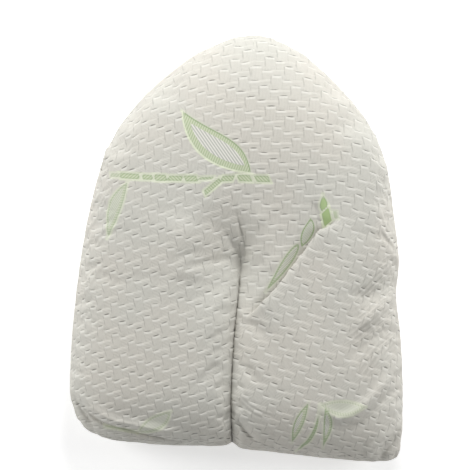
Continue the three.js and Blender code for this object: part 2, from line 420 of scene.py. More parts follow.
class Arm:
    """The plan of one arm on a grid: across from its outer side to the crease, and along it."""

    def __init__(self, side, finer):
        self.side = side
        self.marks = (grid_marks(CAGE_ACROSS, finer, False), grid_marks(CAGE_ALONG, finer, True))
        self.across = crowded(self.marks[0], CAGE_ACROSS)
        self.along = crowded(self.marks[1], CAGE_ALONG)
        outer_corner = f"{side} outer corner"
        shoulder = f"{side} shoulder"
        end = stretch(SEAM, outer_corner, f"{side} inner corner", self.across)
        gable = stretch(SEAM, shoulder, "apex", self.across)
        outer = stretch(SEAM, outer_corner, shoulder, self.along)
        centre = stretch(CENTRE_LINE, "inner corners", "apex", self.along)
        s = self.across[:, None, None]
        t = self.along[None, :, None]
        plan = end[:, None] * (1 - t) + gable[:, None] * t + outer[None] * (1 - s) + centre[None] * s
        plan = plan - end[0] * (1 - s) * (1 - t) - end[-1] * s * (1 - t)
        plan = plan - gable[0] * (1 - s) * t - gable[-1] * s * t
        whole = np.flatnonzero(self.marks[1] % 1 == 0)
        self.notch = int(whole[np.argmax(centre[whole, 1] >= NOTCH_Y)])
        if side == RIGHT:
            plan = gather_at_tuck(plan)
        self.plan = plan
        self.x = plan[..., 0]
        self.y = plan[..., 1]
        edges = {
            "outer": outer[None],
            "gable": gable[:, None],
            "end": end[:, None],
            "centre": centre[None],
        }
        self.ways = {name: edge - plan for name, edge in edges.items()}
        self.gaps = {name: np.linalg.norm(way, axis=2) for name, way in self.ways.items()}
        self.to_seam = np.minimum(np.minimum(self.gaps["outer"], self.gaps["gable"]), self.gaps["end"])
        self.end = end
        self.outer = outer
        self.gable = gable


def gather_at_tuck(plan):
    """Draws the grid's lines towards the tuck, so that its edge is sharp."""
    off, along = against(TUCK_LINE, plan[..., 0], plan[..., 1])
    near = np.clip(1 - np.abs(off) / TUCK_GATHER, 0, 1)
    pull = TUCK_PULL * near**2 * run_fade(along, TUCK_RUN)
    dense = curve_through(TUCK_LINE)
    line = read_by_length(dense, np.clip(along, 0, 1).ravel()).reshape(plan.shape)
    return plan + (line - plan) * (pull * (np.abs(off) < TUCK_GATHER))[..., None]


# The heights of the face and the back


def arch(distance, swell, power=0.5):
    """Rises from 0 at a seam to 1 at the full swell, like a quarter circle at power 0.5."""
    left = 1 - np.minimum(distance / swell, 1)
    return (1 - left * left) ** power


def soft_least(a, b):
    """The lesser of two distances, rounded off where they are alike."""
    a = np.maximum(a, TINY)
    b = np.maximum(b, TINY)
    return (a**-CORNER_SHARPNESS + b**-CORNER_SHARPNESS) ** (-1 / CORNER_SHARPNESS)


def lump_height(x, y):
    """Height of the fuller and the sunken places."""
    total = np.zeros(np.shape(x))
    for _, at_x, at_y, radius, share in LUMPS:
        away = np.hypot(x - at_x, y - at_y) / radius
        total = total + FULLEST_LUMP * share * np.exp(-(away**2))
    return total


def fold_height(x, y, fine):
    """Height of the folds; the narrow ones and the small wrinkles only on a fine grid."""
    total = np.zeros(np.shape(x))
    for _, line, width, rise in FOLDS:
        if width < FINE_FOLD and not fine:
            continue
        off, along = against(line, x, y)
        sharpness = CREASE_SHARPNESS if rise < 0 else ROUND_SHARPNESS
        total = total + rise * run_fade(along, FOLD_RUN) * np.exp(-(np.abs(off / width) ** sharpness))
    for _, line, width, pitch, rise in WRINKLES if fine else ():
        off, along = against(line, x, y)
        run = run_fade(along, FOLD_RUN) * np.exp(-((off / width) ** 2))
        total = total + rise * run * wave(off / pitch + WRINKLE_START + WRINKLE_SLANT * along)
    return total


def tuck_shift(x, y):
    """How far the tuck moves the face sideways and up: a lip that leans over a groove."""
    off, along = against(TUCK_LINE, x, y)
    run = run_fade(along, TUCK_RUN)
    over = off > 0
    lip = TUCK_LIP * np.exp(-np.maximum(off, 0) / TUCK_LIP_REACH)
    roll = -TUCK_ROLL * np.exp(-np.maximum(off, 0) / TUCK_ROLL_REACH)
    groove = -TUCK_DROP * np.exp(np.minimum(off, 0) / TUCK_DROP_REACH)
    lean = TUCK_LEAN * np.exp(-np.maximum(off, 0) / TUCK_LEAN_REACH)
    up = np.where(over, lip + roll, groove) * run
    (x1, y1), (x2, y2) = TUCK_LINE[1], TUCK_LINE[4]
    length = math.hypot(x2 - x1, y2 - y1)
    side = np.where(over, lean, 0) * run
    return np.stack([side * (y2 - y1) / length, -side * (x2 - x1) / length, up], axis=-1)


def seam_arc(arm):
    """How far along the outer seam each grid line starts, for the outer side, gable and end."""
    outer = lengths_along(arm.outer)[None]
    gable = outer[0, -1] + lengths_along(arm.gable)[:, None]
    end = -lengths_along(arm.end)[:, None]
    return {"outer": outer, "gable": gable, "end": end}


# Gathers along the seam: the length of each wave, its height and where it starts
GATHERS = ((23.0, 0.9, 0.1), (37.0, 1.2, 0.55), (61.0, 1.0, 0.3), (15.5, 0.45, 0.8))
GATHER_REACH = 26.0
GATHER_CALM = 5.0
GATHER_TURNS = {(LEFT, FACE): 0.0, (RIGHT, FACE): 0.21, (LEFT, BACK): 0.37, (RIGHT, BACK): 0.58}

# Each gather's height swells and ebbs along the seam, over this many of its own lengths
SWELL_LENGTHS = 5.3
SWELL_SHARE = 0.35

# The seam lies in a groove this deep
SEAM_PINCH = 2.4
SEAM_PINCH_REACH = 4.5


def seam_gathers(arm, layer):
    """Small radiating puckers that fade in from the seam."""
    total = np.zeros(arm.x.shape)
    turn = GATHER_TURNS[arm.side, layer]
    for name, arc in seam_arc(arm).items():
        strength = np.exp(-arm.gaps[name] / GATHER_REACH)
        for length, height, start in GATHERS:
            swell = wave(arc / (length * SWELL_LENGTHS) + start * 2 + turn)
            swell = 1 - SWELL_SHARE + SWELL_SHARE * swell
            total = total + strength * height * swell * wave(arc / length + start + turn)
    return total * (1 - np.exp(-arm.to_seam / GATHER_CALM))


def pinch_seam(arm, shape):
    """Draws the cloth in at the outer seam, so that the seam lies in a groove."""
    strength = SEAM_PINCH * np.exp(-(((shape[..., 2] - SEAM_HEIGHT) / SEAM_PINCH_REACH) ** 2))
    for name in ("outer", "gable", "end"):
        way = arm.ways[name] / np.maximum(arm.gaps[name], TINY)[..., None]
        if name == "outer":
            way[0] = way[1]
        elif name == "gable":
            way[:, -1] = way[:, -2]
        else:
            way[:, 0] = way[:, 1]
        near = np.exp(-((arm.gaps[name] / SEAM_PINCH_REACH) ** 2))
        shape[..., :2] -= way * (near * strength)[..., None]


def arm_surface(arm, layer, fine=True):
    """Places of one arm's face or back, before the weave is raised in it."""
    gaps = arm.gaps
    swell = arch(soft_least(gaps["outer"], gaps["gable"]), SIDE_SWELL) * arch(gaps["end"], END_SWELL)
    above_notch = fade(NOTCH_Y, VALLEY_TOP_Y, arm.y)
    left = 1 - np.minimum(gaps["centre"] / CREASE_SWELL, 1)
    rounding = CREASE_ROUNDING + (VALLEY_ROUNDING - CREASE_ROUNDING) * above_notch
    valley = (1 - above_notch) * (1 - (1 - left * left) ** rounding)
    shape = np.zeros(arm.plan.shape[:2] + (3,))
    shape[..., :2] = arm.plan
    if layer == FACE:
        crown = FACE_CROWN - CREASE_DEPTH_FACE * valley + lump_height(arm.x, arm.y)
        shape[..., 2] = SEAM_HEIGHT + swell * (crown + fold_height(arm.x, arm.y, fine))
        if arm.side == RIGHT:
            shape = shape + tuck_shift(arm.x, arm.y) * swell[..., None]
    else:
        shape[..., 2] = SEAM_HEIGHT - swell * (BACK_CROWN - CREASE_DEPTH_BACK * valley)
    on_seam = np.zeros(arm.x.shape, bool)
    on_seam[0] = on_seam[:, 0] = on_seam[:, -1] = True
    shape[..., 2] = np.where(on_seam, SEAM_HEIGHT, shape[..., 2])
    open_part = slice(0, arm.notch)
    from_end = arm.y[-1, open_part] - arm.y[-1, 0]
    nick = NICK_WIDTHS[arm.side] * np.exp(-from_end / NICK_LENGTH)
    shape[-1, open_part, 0] += OFF_CENTRE[arm.side] * (SLIT / 2 + nick)
    return shape


# The filling settles: a coarse closed cover is blown up from inside with its seams held

FILL_PRESSURE = 4.0
FILL_FRAMES = 20
FILL_GROWTH = -0.03
CLOTH_STEPS = 4
CLOTH_BENDING = 0.2
FARTHEST_SETTLED = 7.0


class Cage:
    """The closed coarse cover, with the number of each grid place's point."""

    def __init__(self):
        self.numbers = {}
        self.places = []
        self.faces = []
        self.arms = {side: Arm(side, 1) for side in (LEFT, RIGHT)}
        known = {}
        for side, arm in self.arms.items():
            for layer in (FACE, BACK):
                shape = arm_surface(arm, layer, fine=False)
                self.numbers[side, layer] = self.number(known, arm, layer, shape)
        for (side, layer), numbers in self.numbers.items():
            flipped = (side == RIGHT) != (layer == BACK)
            self.faces.extend(grid_faces(numbers, flipped))
        for side, arm in self.arms.items():
            rims = [self.numbers[side, layer][-1, : arm.notch + 1] for layer in (FACE, BACK)]
            self.faces.extend(grid_faces(np.stack(rims), side == RIGHT))

    def number(self, known, arm, layer, shape):
        """Numbers one surface's points; those that it shares with another keep one number."""
        across, along = arm.x.shape
        numbers = np.zeros((across, along), int)
        for i in range(across):
            for j in range(along):
                sewn = i == 0 or j == 0 or j == along - 1
                shared = i == across - 1 and j >= arm.notch
                key = ("both" if shared else arm.side, "seam" if sewn else layer, i, j)
                if key not in known:
                    known[key] = len(self.places)
                    self.places.append(shape[i, j])
                numbers[i, j] = known[key]
        return numbers

    def held(self):
        """The points that stay where they are: the outer seam and the crease's two rims."""
        kept = set()
        for (side, _), numbers in self.numbers.items():
            arm = self.arms[side]
            for part in (numbers[0], numbers[:, 0], numbers[:, -1], numbers[-1, : arm.notch + 3]):
                kept.update(part.tolist())
        return sorted(kept)


def grid_faces(numbers, flipped):
    """Four-sided faces over a grid of point numbers, without the ones that have no width."""
    corners = [numbers[:-1, :-1], numbers[1:, :-1], numbers[1:, 1:], numbers[:-1, 1:]]
    quads = np.stack(corners, axis=-1).reshape(-1, 4)
    if flipped:
        quads = quads[:, ::-1]
    faces = []
    for quad in quads.tolist():
        face = [point for k, point in enumerate(quad) if point != quad[k - 1]]
        if len(set(face)) >= 3:
            faces.append(face)
    return faces


def settle_filling(pressure):
    """Blows the coarse cover up with Blender's cloth and returns how far each grid place moved."""
    cage = Cage()
    start = np.array(cage.places)
    mesh = bpy.data.meshes.new("filled_cover")
    mesh.from_pydata((start * MM).tolist(), [], cage.faces)
    cover = bpy.data.objects.new("filled_cover", mesh)
    bpy.context.scene.collection.objects.link(cover)
    sewn = cover.vertex_groups.new(name="sewn")
    sewn.add(cage.held(), 1.0, "REPLACE")
    cloth = cover.modifiers.new("cloth", "CLOTH")
    cloth.settings.vertex_group_mass = "sewn"
    cloth.settings.quality = CLOTH_STEPS
    cloth.settings.use_pressure = True
    cloth.settings.uniform_pressure_force = pressure
    cloth.settings.shrink_min = FILL_GROWTH
    cloth.settings.effector_weights.gravity = 0.0
    cloth.settings.bending_stiffness = CLOTH_BENDING
    cloth.point_cache.frame_start = 1
    cloth.point_cache.frame_end = FILL_FRAMES
    scene = bpy.context.scene
    for number in range(1, FILL_FRAMES + 1):
        scene.frame_set(number)
    settled = cover.evaluated_get(bpy.context.evaluated_depsgraph_get()).to_mesh()
    end = np.zeros(len(settled.vertices) * 3, np.float32)
    settled.vertices.foreach_get("co", end)
    moved = end.reshape(-1, 3).astype(float) / MM - start
    far = np.linalg.norm(moved, axis=1, keepdims=True)
    moved = moved * FARTHEST_SETTLED / (FARTHEST_SETTLED + far)
    scene.frame_set(1)
    bpy.data.objects.remove(cover)
    bpy.data.meshes.remove(mesh)
    return {place: moved[numbers] for place, numbers in cage.numbers.items()}


def finer_weights(marks, steps):
    """Weights that carry values on a coarse row of points to the marks of a finer one."""
    own = np.minimum(marks.astype(int), steps - 1)
    t = marks - own
    shares = (
        0.5 * (-(t**3) + 2 * t**2 - t),
        0.5 * (3 * t**3 - 5 * t**2 + 2),
        0.5 * (-3 * t**3 + 4 * t**2 + t),
        0.5 * (t**3 - t**2),
    )
    weights = np.zeros((len(marks), steps + 1))
    for before, share in zip(range(-1, 3), shares):
        np.add.at(weights, (np.arange(len(marks)), np.clip(own + before, 0, steps)), share)
    return weights


def finer_offsets(arm, offsets):
    """The settled offsets of a coarse grid, carried smoothly to the arm's fine grid."""
    across = finer_weights(arm.marks[0], CAGE_ACROSS)
    along = finer_weights(arm.marks[1], CAGE_ALONG)
    return np.einsum("ai,bj,ijk->abk", across, along, offsets)


# The cloth's own coordinates: flat measures along and across the weave

# A corner where the weave turns: its place, where its line of turning points in degrees, whether
# angles are counted clockwise from there, by how many degrees the weave turns, and the angles
# between which the turn fades
Turn = namedtuple("Turn", "x y line clockwise turn fades")
VALLEY_TURN = Turn(-5.5, 66.0, -90.0, True, 11.0, (50.0, 235.0))
TUCK_TURN = Turn(160.0, 59.0, -135.0, False, -18.0, (95.0, 275.0))

# Degrees next to a corner's line that count as lying on its near side
LINE_MARGIN = 60

# The whole weave lies a little askew, and is drawn together towards the sides, top and ends
ASKEW = math.radians(4.0)
SIDE_GATHER_MIDDLE = 40.0
SIDE_GATHER_RATE = 0.00045
TOP_GATHER = 0.06
TOP_GATHER_RUN = (60, 240)
END_GATHER = 1.6

# Its rows droop to both sides, high up on the left and further down on the right
DROOP_MIDDLE = 20.0
DROOP_RATE = 0.0003
LEFT_DROOP_RUN = (40, 160)
RIGHT_DROOP_RUN = (20, 120)
RIGHT_DROOP_LEAST = 0.4
LENGTH_SAMPLES = 400


def extra_length(distance, swell, height):
    """How much longer the swelling surface is than its plan, inward from a place near the seam."""
    steps = np.linspace(0, 1, LENGTH_SAMPLES)
    across = steps * swell
    rise = height * arch(across, swell)
    excess = np.hypot(np.diff(across), np.diff(rise)) - np.diff(across)
    from_crest = np.concatenate([np.cumsum(excess[::-1])[::-1], [0.0]])
    return np.interp(distance, across, from_crest)


def turned(points, corner, branch):
    """Points turned about a corner of the weave; branch is +1 where its turn is full, or -1."""
    away = points - np.array([corner.x, corner.y])
    angle = np.degrees(np.arctan2(away[..., 1], away[..., 0])) - corner.line
    angle = (-angle if corner.clockwise else angle) % 360
    if branch > 0:
        angle = np.where(angle > 360 - LINE_MARGIN, 0, angle)
    else:
        angle = np.where(angle < LINE_MARGIN, 360, angle)
    turn = -np.radians(corner.turn * (1 - fade(*corner.fades, angle)))
    cosine, sine = np.cos(turn), np.sin(turn)
    x = away[..., 0] * cosine - away[..., 1] * sine
    y = away[..., 0] * sine + away[..., 1] * cosine
    return np.stack([x + corner.x, y + corner.y], axis=-1)


def cloth_places(arm, layer):
    """The cloth's coordinates over an arm, and the same for the part below the tuck."""
    crown = FACE_CROWN if layer == FACE else BACK_CROWN
    spread = arm.plan.copy()
    for name, swell, height in (
        ("outer", SIDE_SWELL, crown),
        ("gable", SIDE_SWELL, crown),
        ("end", END_SWELL, crown * END_GATHER),
        ("centre", CREASE_SWELL, CREASE_DEPTH_FACE),
    ):
        gap = arm.gaps[name]
        excess = extra_length(gap, swell, height)
        if name == "centre":
            excess = excess * (1 - fade(NOTCH_Y, VALLEY_TOP_Y, arm.y))
        spread = spread + arm.ways[name] / np.maximum(gap, TINY)[..., None] * excess[..., None]
    spread = turned(spread, VALLEY_TURN, 1 if arm.side == LEFT else -1)
    if arm.side == LEFT or layer == BACK:
        return askew(spread), askew(spread)
    return askew(turned(spread, TUCK_TURN, -1)), askew(turned(spread, TUCK_TURN, 1))


def askew(points):
    """The cloth's places, turned by the skew of its weave, drawn together and drooping sideways."""
    cosine, sine = math.cos(ASKEW), math.sin(ASKEW)
    u = points[..., 0] * cosine + points[..., 1] * sine
    v = points[..., 1] * cosine - points[..., 0] * sine
    u = u * (1 + TOP_GATHER * fade(*TOP_GATHER_RUN, v))
    side = u - SIDE_GATHER_MIDDLE
    on_left = fade(*LEFT_DROOP_RUN, v)
    on_right = RIGHT_DROOP_LEAST + (1 - RIGHT_DROOP_LEAST) * fade(*RIGHT_DROOP_RUN, v)
    high = np.where(u < DROOP_MIDDLE, on_left, on_right)
    droop = DROOP_RATE * (u - DROOP_MIDDLE) ** 2 * high
    return np.stack([u + SIDE_GATHER_RATE * side * np.abs(side), v + droop], axis=-1)


# The basket weave, for the raised cloth and for its material alike

# Blocks lie in rows, each row shifted by a share of a block from the one above. From UPRIGHT_START
# on, a block's ribs run upright, and that part rises into the foot of the row above it
BLOCK_PERIOD = 53.2
ROW_HEIGHT = 17.45
ROW_SHIFT = 0.5925
UPRIGHT_START = 0.675
UPRIGHT_RISE = 0.37
RIB_PITCH = 2.4

# Where that risen part shows in the row above: down from its top, and from side to side. Shares
# of a block are counted from 0 to 1 to the right, and shares of a row downwards
RISEN_TOP = 1 - UPRIGHT_RISE
RISEN_LEFT = UPRIGHT_START + ROW_SHIFT - 1
RISEN_RIGHT = ROW_SHIFT

# Slow waves over the cloth: the height of each, and how far apart it repeats along and across,
# below 0 where it slants the other way. They make the gaps deeper and their painted shade darker, or
# both fainter, and shift the blocks sideways and up
GAP_STRENGTH = 0.85
GAP_WAVES = ((0.3, 71, 43),)
SWAY_WAVES = ((0.7, 83, 61), (0.45, 37, -29))
LIFT_WAVES = ((0.5, 53, -79), (0.35, 31, 41))

# A part of a block falls by this much from its top to its foot
BLOCK_FALL = 0.62
LYING_TOP = 0.96
LYING_TOP_RUN = (-0.02, 0.16)

# Thin grooves beside the upright parts, and gaps over their tops and at the rows' tops; the material
# fills both with painted shade. Both widths are in millimetres, and grow with the softness asked for
GROOVE_WIDTH = 0.62
GAP_WIDTH = 0.52
WIDENING = 0.3
GROOVE_DEPTH = 0.25
FAR_GROOVE = 0.4
GROOVE_HEAD_RUN = (0.0, 0.1)
GROOVE_FOOT_RUN = (0.35, 0.8)
RISEN_GROOVE_RUN = (RISEN_TOP - 0.02, RISEN_TOP + 0.08)
FAR_GROOVE_RUN = (RISEN_TOP, RISEN_TOP + 0.1)
RISEN_GAP = (RISEN_LEFT + 0.075, RISEN_RIGHT - 0.045)
RISEN_GAP_LIFT = 0.01
ROW_GAP = (0.05, 0.25)
ROW_GAP_PLACE = 0.045
ROW_GAP_STRENGTH = 0.9
GAP_END = 0.06

# Lips under the gaps, which take a painted highlight: twice as wide, and this many of their own
# widths lower
RISEN_LIP = (RISEN_LEFT + 0.02, RISEN_RIGHT - 0.01)
ROW_LIP = (0.0, 0.30)
LIP_SCALE = 0.5
LIP_OFFSET = 2.1
LIP_END = 0.05


def notched(value, low, high, soft):
    """1 between low and high, with soft edges."""
    return fade(low - soft, low + soft, value) * (1 - fade(high - soft, high + soft, value))


def bell(value):
    """1 at 0, falling to 0 at 2 on both sides."""
    squared = value * value
    return 1 - fade(0.0, 4.0, squared)


def ripples(u, v, waves):
    """The sum of slow waves over the cloth."""
    return sum(height * wave(u * (1 / along) + v * (1 / across)) for height, along, across in waves)


def side_grooves(s, t, soft):
    """The grooves beside the upright parts, at shares s of a block and t of a row."""
    thin = (GROOVE_WIDTH + WIDENING * soft) / BLOCK_PERIOD
    lasting = fade(*GROOVE_HEAD_RUN, t) * (1 - fade(*GROOVE_FOOT_RUN, t))
    near = bell((s - UPRIGHT_START) * (1 / thin)) * lasting
    near = near + bell((s - RISEN_LEFT) * (1 / thin)) * fade(*RISEN_GROOVE_RUN, t)
    far = bell((s - RISEN_RIGHT) * (1 / thin)) * fade(*FAR_GROOVE_RUN, t)
    far = far + bell(s * (1 / thin))
    return near + far * FAR_GROOVE


def gaps_and_lips(s, t, soft):
    """The gaps over the blocks, which take painted shade, and the lips under them, which take a
    painted highlight.
    """
    slim = (GAP_WIDTH + WIDENING * soft) / ROW_HEIGHT
    over_risen = (t - RISEN_TOP + RISEN_GAP_LIFT) * (1 / slim)
    over_row = (t - ROW_GAP_PLACE) * (1 / slim)
    gap = notched(s, *RISEN_GAP, GAP_END) * bell(over_risen)
    gap = gap + notched(s, *ROW_GAP, GAP_END) * bell(over_row) * ROW_GAP_STRENGTH
    lip = notched(s, *RISEN_LIP, LIP_END) * bell(over_risen * LIP_SCALE - LIP_OFFSET)
    lip = lip + notched(s, *ROW_LIP, LIP_END) * bell(over_row * LIP_SCALE - LIP_OFFSET)
    return gap, lip


def weave(u, v, soft):
    """Height of the weave from 0 to 1, its gaps and side grooves, which take painted shade, its
    lips, which take a painted highlight, and where its ribs run upright.

    u and v are the cloth's coordinates, as numbers or as wires of a material, and soft is the
    width of the sharpest edges.
    """
    strong = GAP_STRENGTH + ripples(u, v, GAP_WAVES)
    sway = ripples(u, v, SWAY_WAVES)
    lift = ripples(u, v, LIFT_WAVES)
    down = (v + lift) * (-1.0 / ROW_HEIGHT)
    row = floor(down)
    t = down - row
    along = (u + sway) * (1.0 / BLOCK_PERIOD) - row * ROW_SHIFT
    s = along - floor(along)

    edge_s = soft / BLOCK_PERIOD
    edge_t = soft / ROW_HEIGHT
    own = fade(UPRIGHT_START - edge_s, UPRIGHT_START + edge_s, s)
    risen = notched(s, RISEN_LEFT, RISEN_RIGHT, edge_s)
    risen = risen * fade(RISEN_TOP - edge_t, RISEN_TOP + edge_t, t)
    upright = own + risen
    lying = 1 - upright
    below_own = (t + UPRIGHT_RISE) * (1 / (1 + UPRIGHT_RISE))
    below_risen = (t - RISEN_TOP) * (1 / (1 + UPRIGHT_RISE))
    height = own * (1 - BLOCK_FALL * below_own) + risen * (1 - BLOCK_FALL * below_risen)
    height = height + lying * fade(*LYING_TOP_RUN, t) * (LYING_TOP - BLOCK_FALL * t)

    groove = side_grooves(s, t, soft)
    gap, lip = gaps_and_lips(s, t, soft)
    return height * (1 - GROOVE_DEPTH * groove), gap * strong, lip, groove, upright


# The leaves and the cane, drawn on the face in millimetres

# A leaf: its tip and base, how far it bulges left and right of the line from tip to base and how
# that bulge is skewed, the band inside each edge, the dark outline's share, how full its core is
# and how strongly it is inked
Leaf = namedtuple("Leaf", "name tip base left right bands outline full ink")
LEAVES = (
    Leaf(
        "large leaf", (-109.8, 224.2), (8.6, 124.6),
        (18.5, 1.8), (32.6, 0.9), (9.0, 11.0), 0.8, 0.0, 1.0,
    ),
    Leaf(
        "small leaf at the left", (-232.0, 5.5), (-200.7, 99.0),
        (18.0, 1.1), (5.5, 1.2), (3.2, 5.5), 0.4, 0.3, 0.75,
    ),
    Leaf(
        "leaf over the tuck", (113.9, 52.5), (101.3, 2.0),
        (13.0, 0.8), (7.2, 1.3), (2.8, 2.8), 0.9, 0.2, 0.9,
    ),
    Leaf(
        "leaf under the tuck", (95.0, 6.5), (43.5, -76.0),
        (9.0, 0.6), (6.5, 0.6), (3.4, 3.4), 0.7, 0.15, 0.85,
    ),
    Leaf(
        "bud", (133.0, 91.5), (133.8, 62.5),
        (8.2, 1.1), (4.8, 1.2), (0.5, 0.5), 0.5, 1.0, 0.95,
    ),
    Leaf(
        "low leaf, first", (100.2, -332.5), (123.3, -262.0),
        (10.0, 1.0), (5.2, 1.0), (2.4, 6.0), 0.7, 0.1, 0.85,
    ),
    Leaf(
        "low leaf, feathered", (108.7, -350.5), (142.8, -264.0),
        (-8.0, 1.0), (13.5, 0.85), (9.0, 9.0), 0.6, 1.0, 0.95,
    ),
    Leaf(
        "low leaf, narrow", (153.4, -338.0), (151.5, -268.0),
        (1.0, 1.0), (13.5, 1.3), (2.4, 5.0), 0.7, 0.1, 0.85,
    ),
    Leaf(
        "low leaf, crescent", (219.0, -265.0), (145.6, -264.0),
        (16.5, 1.0), (8.0, 1.0), (5.5, 3.0), 0.1, 0.3, 0.55,
    ),
    Leaf(
        "leaf of the left end", (-112.5, -287.5), (-166.0, -326.5),
        (15.5, 0.8), (8.5, 1.1), (5.0, 2.5), 0.3, 0.2, 0.6,
    ),
)

# A piece of cane: where it starts and ends, its thickness, how far its ends slant, the lean of its
# strokes, 0 where it is solid, and how strongly it is inked
Cane = namedtuple("Cane", "start end thickness slant lean ink")
CANES = (
    Cane((-232, 111.8), (-216, 111.2), 6.5, -0.35, -1, 0.6),
    Cane((-214, 111.2), (-180, 110.4), 9.0, -0.35, -1, 1.0),
    Cane((-175, 110.2), (-158, 110.0), 8.5, -0.35, -1, 1.0),
    Cane((-154, 110.0), (-134, 109.9), 10.5, -0.35, -1, 1.0),
    Cane((-131, 109.9), (-107, 110.2), 8.5, 0.35, 1, 1.0),
    Cane((-103, 110.3), (-82, 110.8), 10.0, -0.35, -1, 1.0),
    Cane((-79, 111.0), (-55, 112.6), 4.5, 0.6, 1, 0.85),
    Cane((-43, 109.5), (-68, 86.5), 8.0, 0.3, 1, 1.0),
    Cane((-41, 112.0), (-20, 113.2), 9.5, 0.5, 1, 1.0),
    Cane((-13, 113.4), (10, 114.2), 11.0, -0.5, 1, 1.0),
    Cane((17, 114.2), (41, 115.0), 10.5, -0.5, 1, 1.0),
    Cane((138.0, 66.4), (144.65, 43.3), 13.9, -0.61, 0, 1.0),
    Cane((154.2, 66.0), (157.6, 53.0), 6.0, 0.3, 0, 0.45),
    Cane((-224, -320), (-164, -326), 2.4, 0.0, 0, 0.4),
)

# The bulge's power is less than 1, so leaves are a little blunter than a sine. Near a leaf's tip
# and base these shares of the way to them count as the distance to its edge and core
BULGE_POWER = 0.88
EDGE_TIP_SHARE = 0.6
CORE_TIP_SHARE = 0.5
CORE_TIP_GAP = 2
WIDE_BAND = 10
FAINT_OUTLINE = 0.15

# Hatchings: strokes in the bands, and stripes in the core that are finer in short leaves
STROKE_PITCH = 4.4
STROKE_SLANT = 0.35
STRIPE_PITCH = 4.3
STRIPE_LEAN = math.radians(13)
FULL_PITCH_LENGTH = 150
LEAST_PITCH = 0.55
CANE_PITCH = 6.2
CANE_LEAN = 1.1

# Solid cane has one even tone, a thin rim and a cream edge that covers what lies beside it
EVEN_STROKE = 0.25
CANE_OUTLINE = 0.35
SOLID_OUTLINE = 0.1
SOLID_RIM = 0.4
CREAM_EDGE = 2.2

# What a place holds where no motif is: edge, core, outline, strokes, stripes, fullness and ink
FAR_OUTSIDE = -40.0
NO_MOTIF = (FAR_OUTSIDE, FAR_OUTSIDE, 0.0, 0.0, 0.0, 0.0, 0.0)


def from_start(start, end, x, y):
    """How far places lie along a line from its start and off it to the left, and its length."""
    run = np.array(end, float) - np.array(start, float)
    length = np.hypot(*run)
    ahead = run / length
    dx, dy = x - start[0], y - start[1]
    return dx * ahead[0] + dy * ahead[1], ahead[0] * dy - ahead[1] * dx, length


def leaf_edges(leaf, x, y):
    """Distances inside a leaf's edge and inside its core, its outline and its two hatchings."""
    (left, left_skew), (right, right_skew) = leaf.left, leaf.right
    left_band, right_band = leaf.bands
    along, off, length = from_start(leaf.tip, leaf.base, x, y)
    share = along / length
    inner = np.clip(share, 0, 1)
    left_edge = left * np.sin(np.pi * inner**left_skew) ** BULGE_POWER
    right_edge = right * np.sin(np.pi * inner**right_skew) ** BULGE_POWER
    ends = np.minimum(share, 1 - share) * length
    edge = np.minimum(left_edge - off, right_edge + off)
    edge = np.minimum(edge, ends * EDGE_TIP_SHARE)
    core = np.minimum(left_edge - left_band - off, right_edge - right_band + off)
    core = np.minimum(core, ends * CORE_TIP_SHARE - CORE_TIP_GAP)
    on_left = left_edge - off < right_edge + off
    fainter = FAINT_OUTLINE if right_band > WIDE_BAND else 1.0
    outline = np.where(on_left, leaf.outline, leaf.outline * fainter)
    strokes = (share * length + STROKE_SLANT * off) / STROKE_PITCH
    pitch = STRIPE_PITCH * min(1.0, max(LEAST_PITCH, length / FULL_PITCH_LENGTH))
    stripes = off * math.cos(STRIPE_LEAN) + share * length * math.sin(STRIPE_LEAN)
    full = np.full(x.shape, leaf.full)
    return edge, core, outline, strokes, stripes / pitch, full, np.full(x.shape, leaf.ink)


def cane_edges(cane, x, y):
    """The same for a piece of cane, which has a core only where it is solid."""
    solid = cane.lean == 0
    along, off, length = from_start(cane.start, cane.end, x, y)
    slanted = along - cane.slant * off
    edge = np.minimum(cane.thickness / 2 - np.abs(off), np.minimum(slanted, length - slanted))
    core = edge - SOLID_RIM if solid else np.full(x.shape, FAR_OUTSIDE)
    outline = np.full(x.shape, SOLID_OUTLINE if solid else CANE_OUTLINE)
    strokes = (x + cane.lean * CANE_LEAN * y) / CANE_PITCH
    if solid:
        strokes = np.full(x.shape, EVEN_STROKE)
    full = np.full(x.shape, 1.0 if solid else 0.0)
    return edge, core, outline, strokes, strokes, full, np.full(x.shape, cane.ink)


def motif_fields(x, y, lapped):
    """The strongest motif at each place; lapped says which places lie on the lap of the tuck."""
    fields = [np.full(x.shape, value) for value in NO_MOTIF]

    def lay(motif, nearer):
        for k, value in enumerate(motif):
            fields[k] = np.where(nearer, value, fields[k])

    for leaf in LEAVES:
        edge, *rest = leaf_edges(leaf, x, y)
        if "tuck" in leaf.name:
            edge = np.where(lapped, FAR_OUTSIDE, edge)
        lay((edge, *rest), edge > fields[0])
    for cane in CANES:
        motif = cane_edges(cane, x, y)
        nearer = motif[0] > fields[0]
        if cane.lean == 0:
            nearer = nearer | (motif[0] > -CREAM_EDGE)
        lay(motif, nearer)
    return fields


# Panels

# The weave of the mesh is softer than that of the material, and calmer by the seams and in leaves
MESH_SOFTNESS = 1.5
SEAM_CALM_RUN = (1.0, 8.0)
LEAF_CALM_RUN = (-2.5, 0.5)
LEAF_CALM = 0.85
MIDDLE_HEIGHT = 0.5
GAP_SINK = 0.45
LIP_STAND = 0.12

# The back has the face's motifs mirrored about half of this x, and higher by this y
BACK_MIRROR = 34
BACK_RISE = 12


def surface_normals(shape, flipped):
    """Directions out of a grid's surface."""
    across = np.gradient(shape, axis=0)
    along = np.gradient(shape, axis=1)
    normals = np.cross(across, along)
    length = np.linalg.norm(normals, axis=2, keepdims=True)
    normals = normals / np.maximum(length, TINY_NORMAL)
    return -normals if flipped else normals


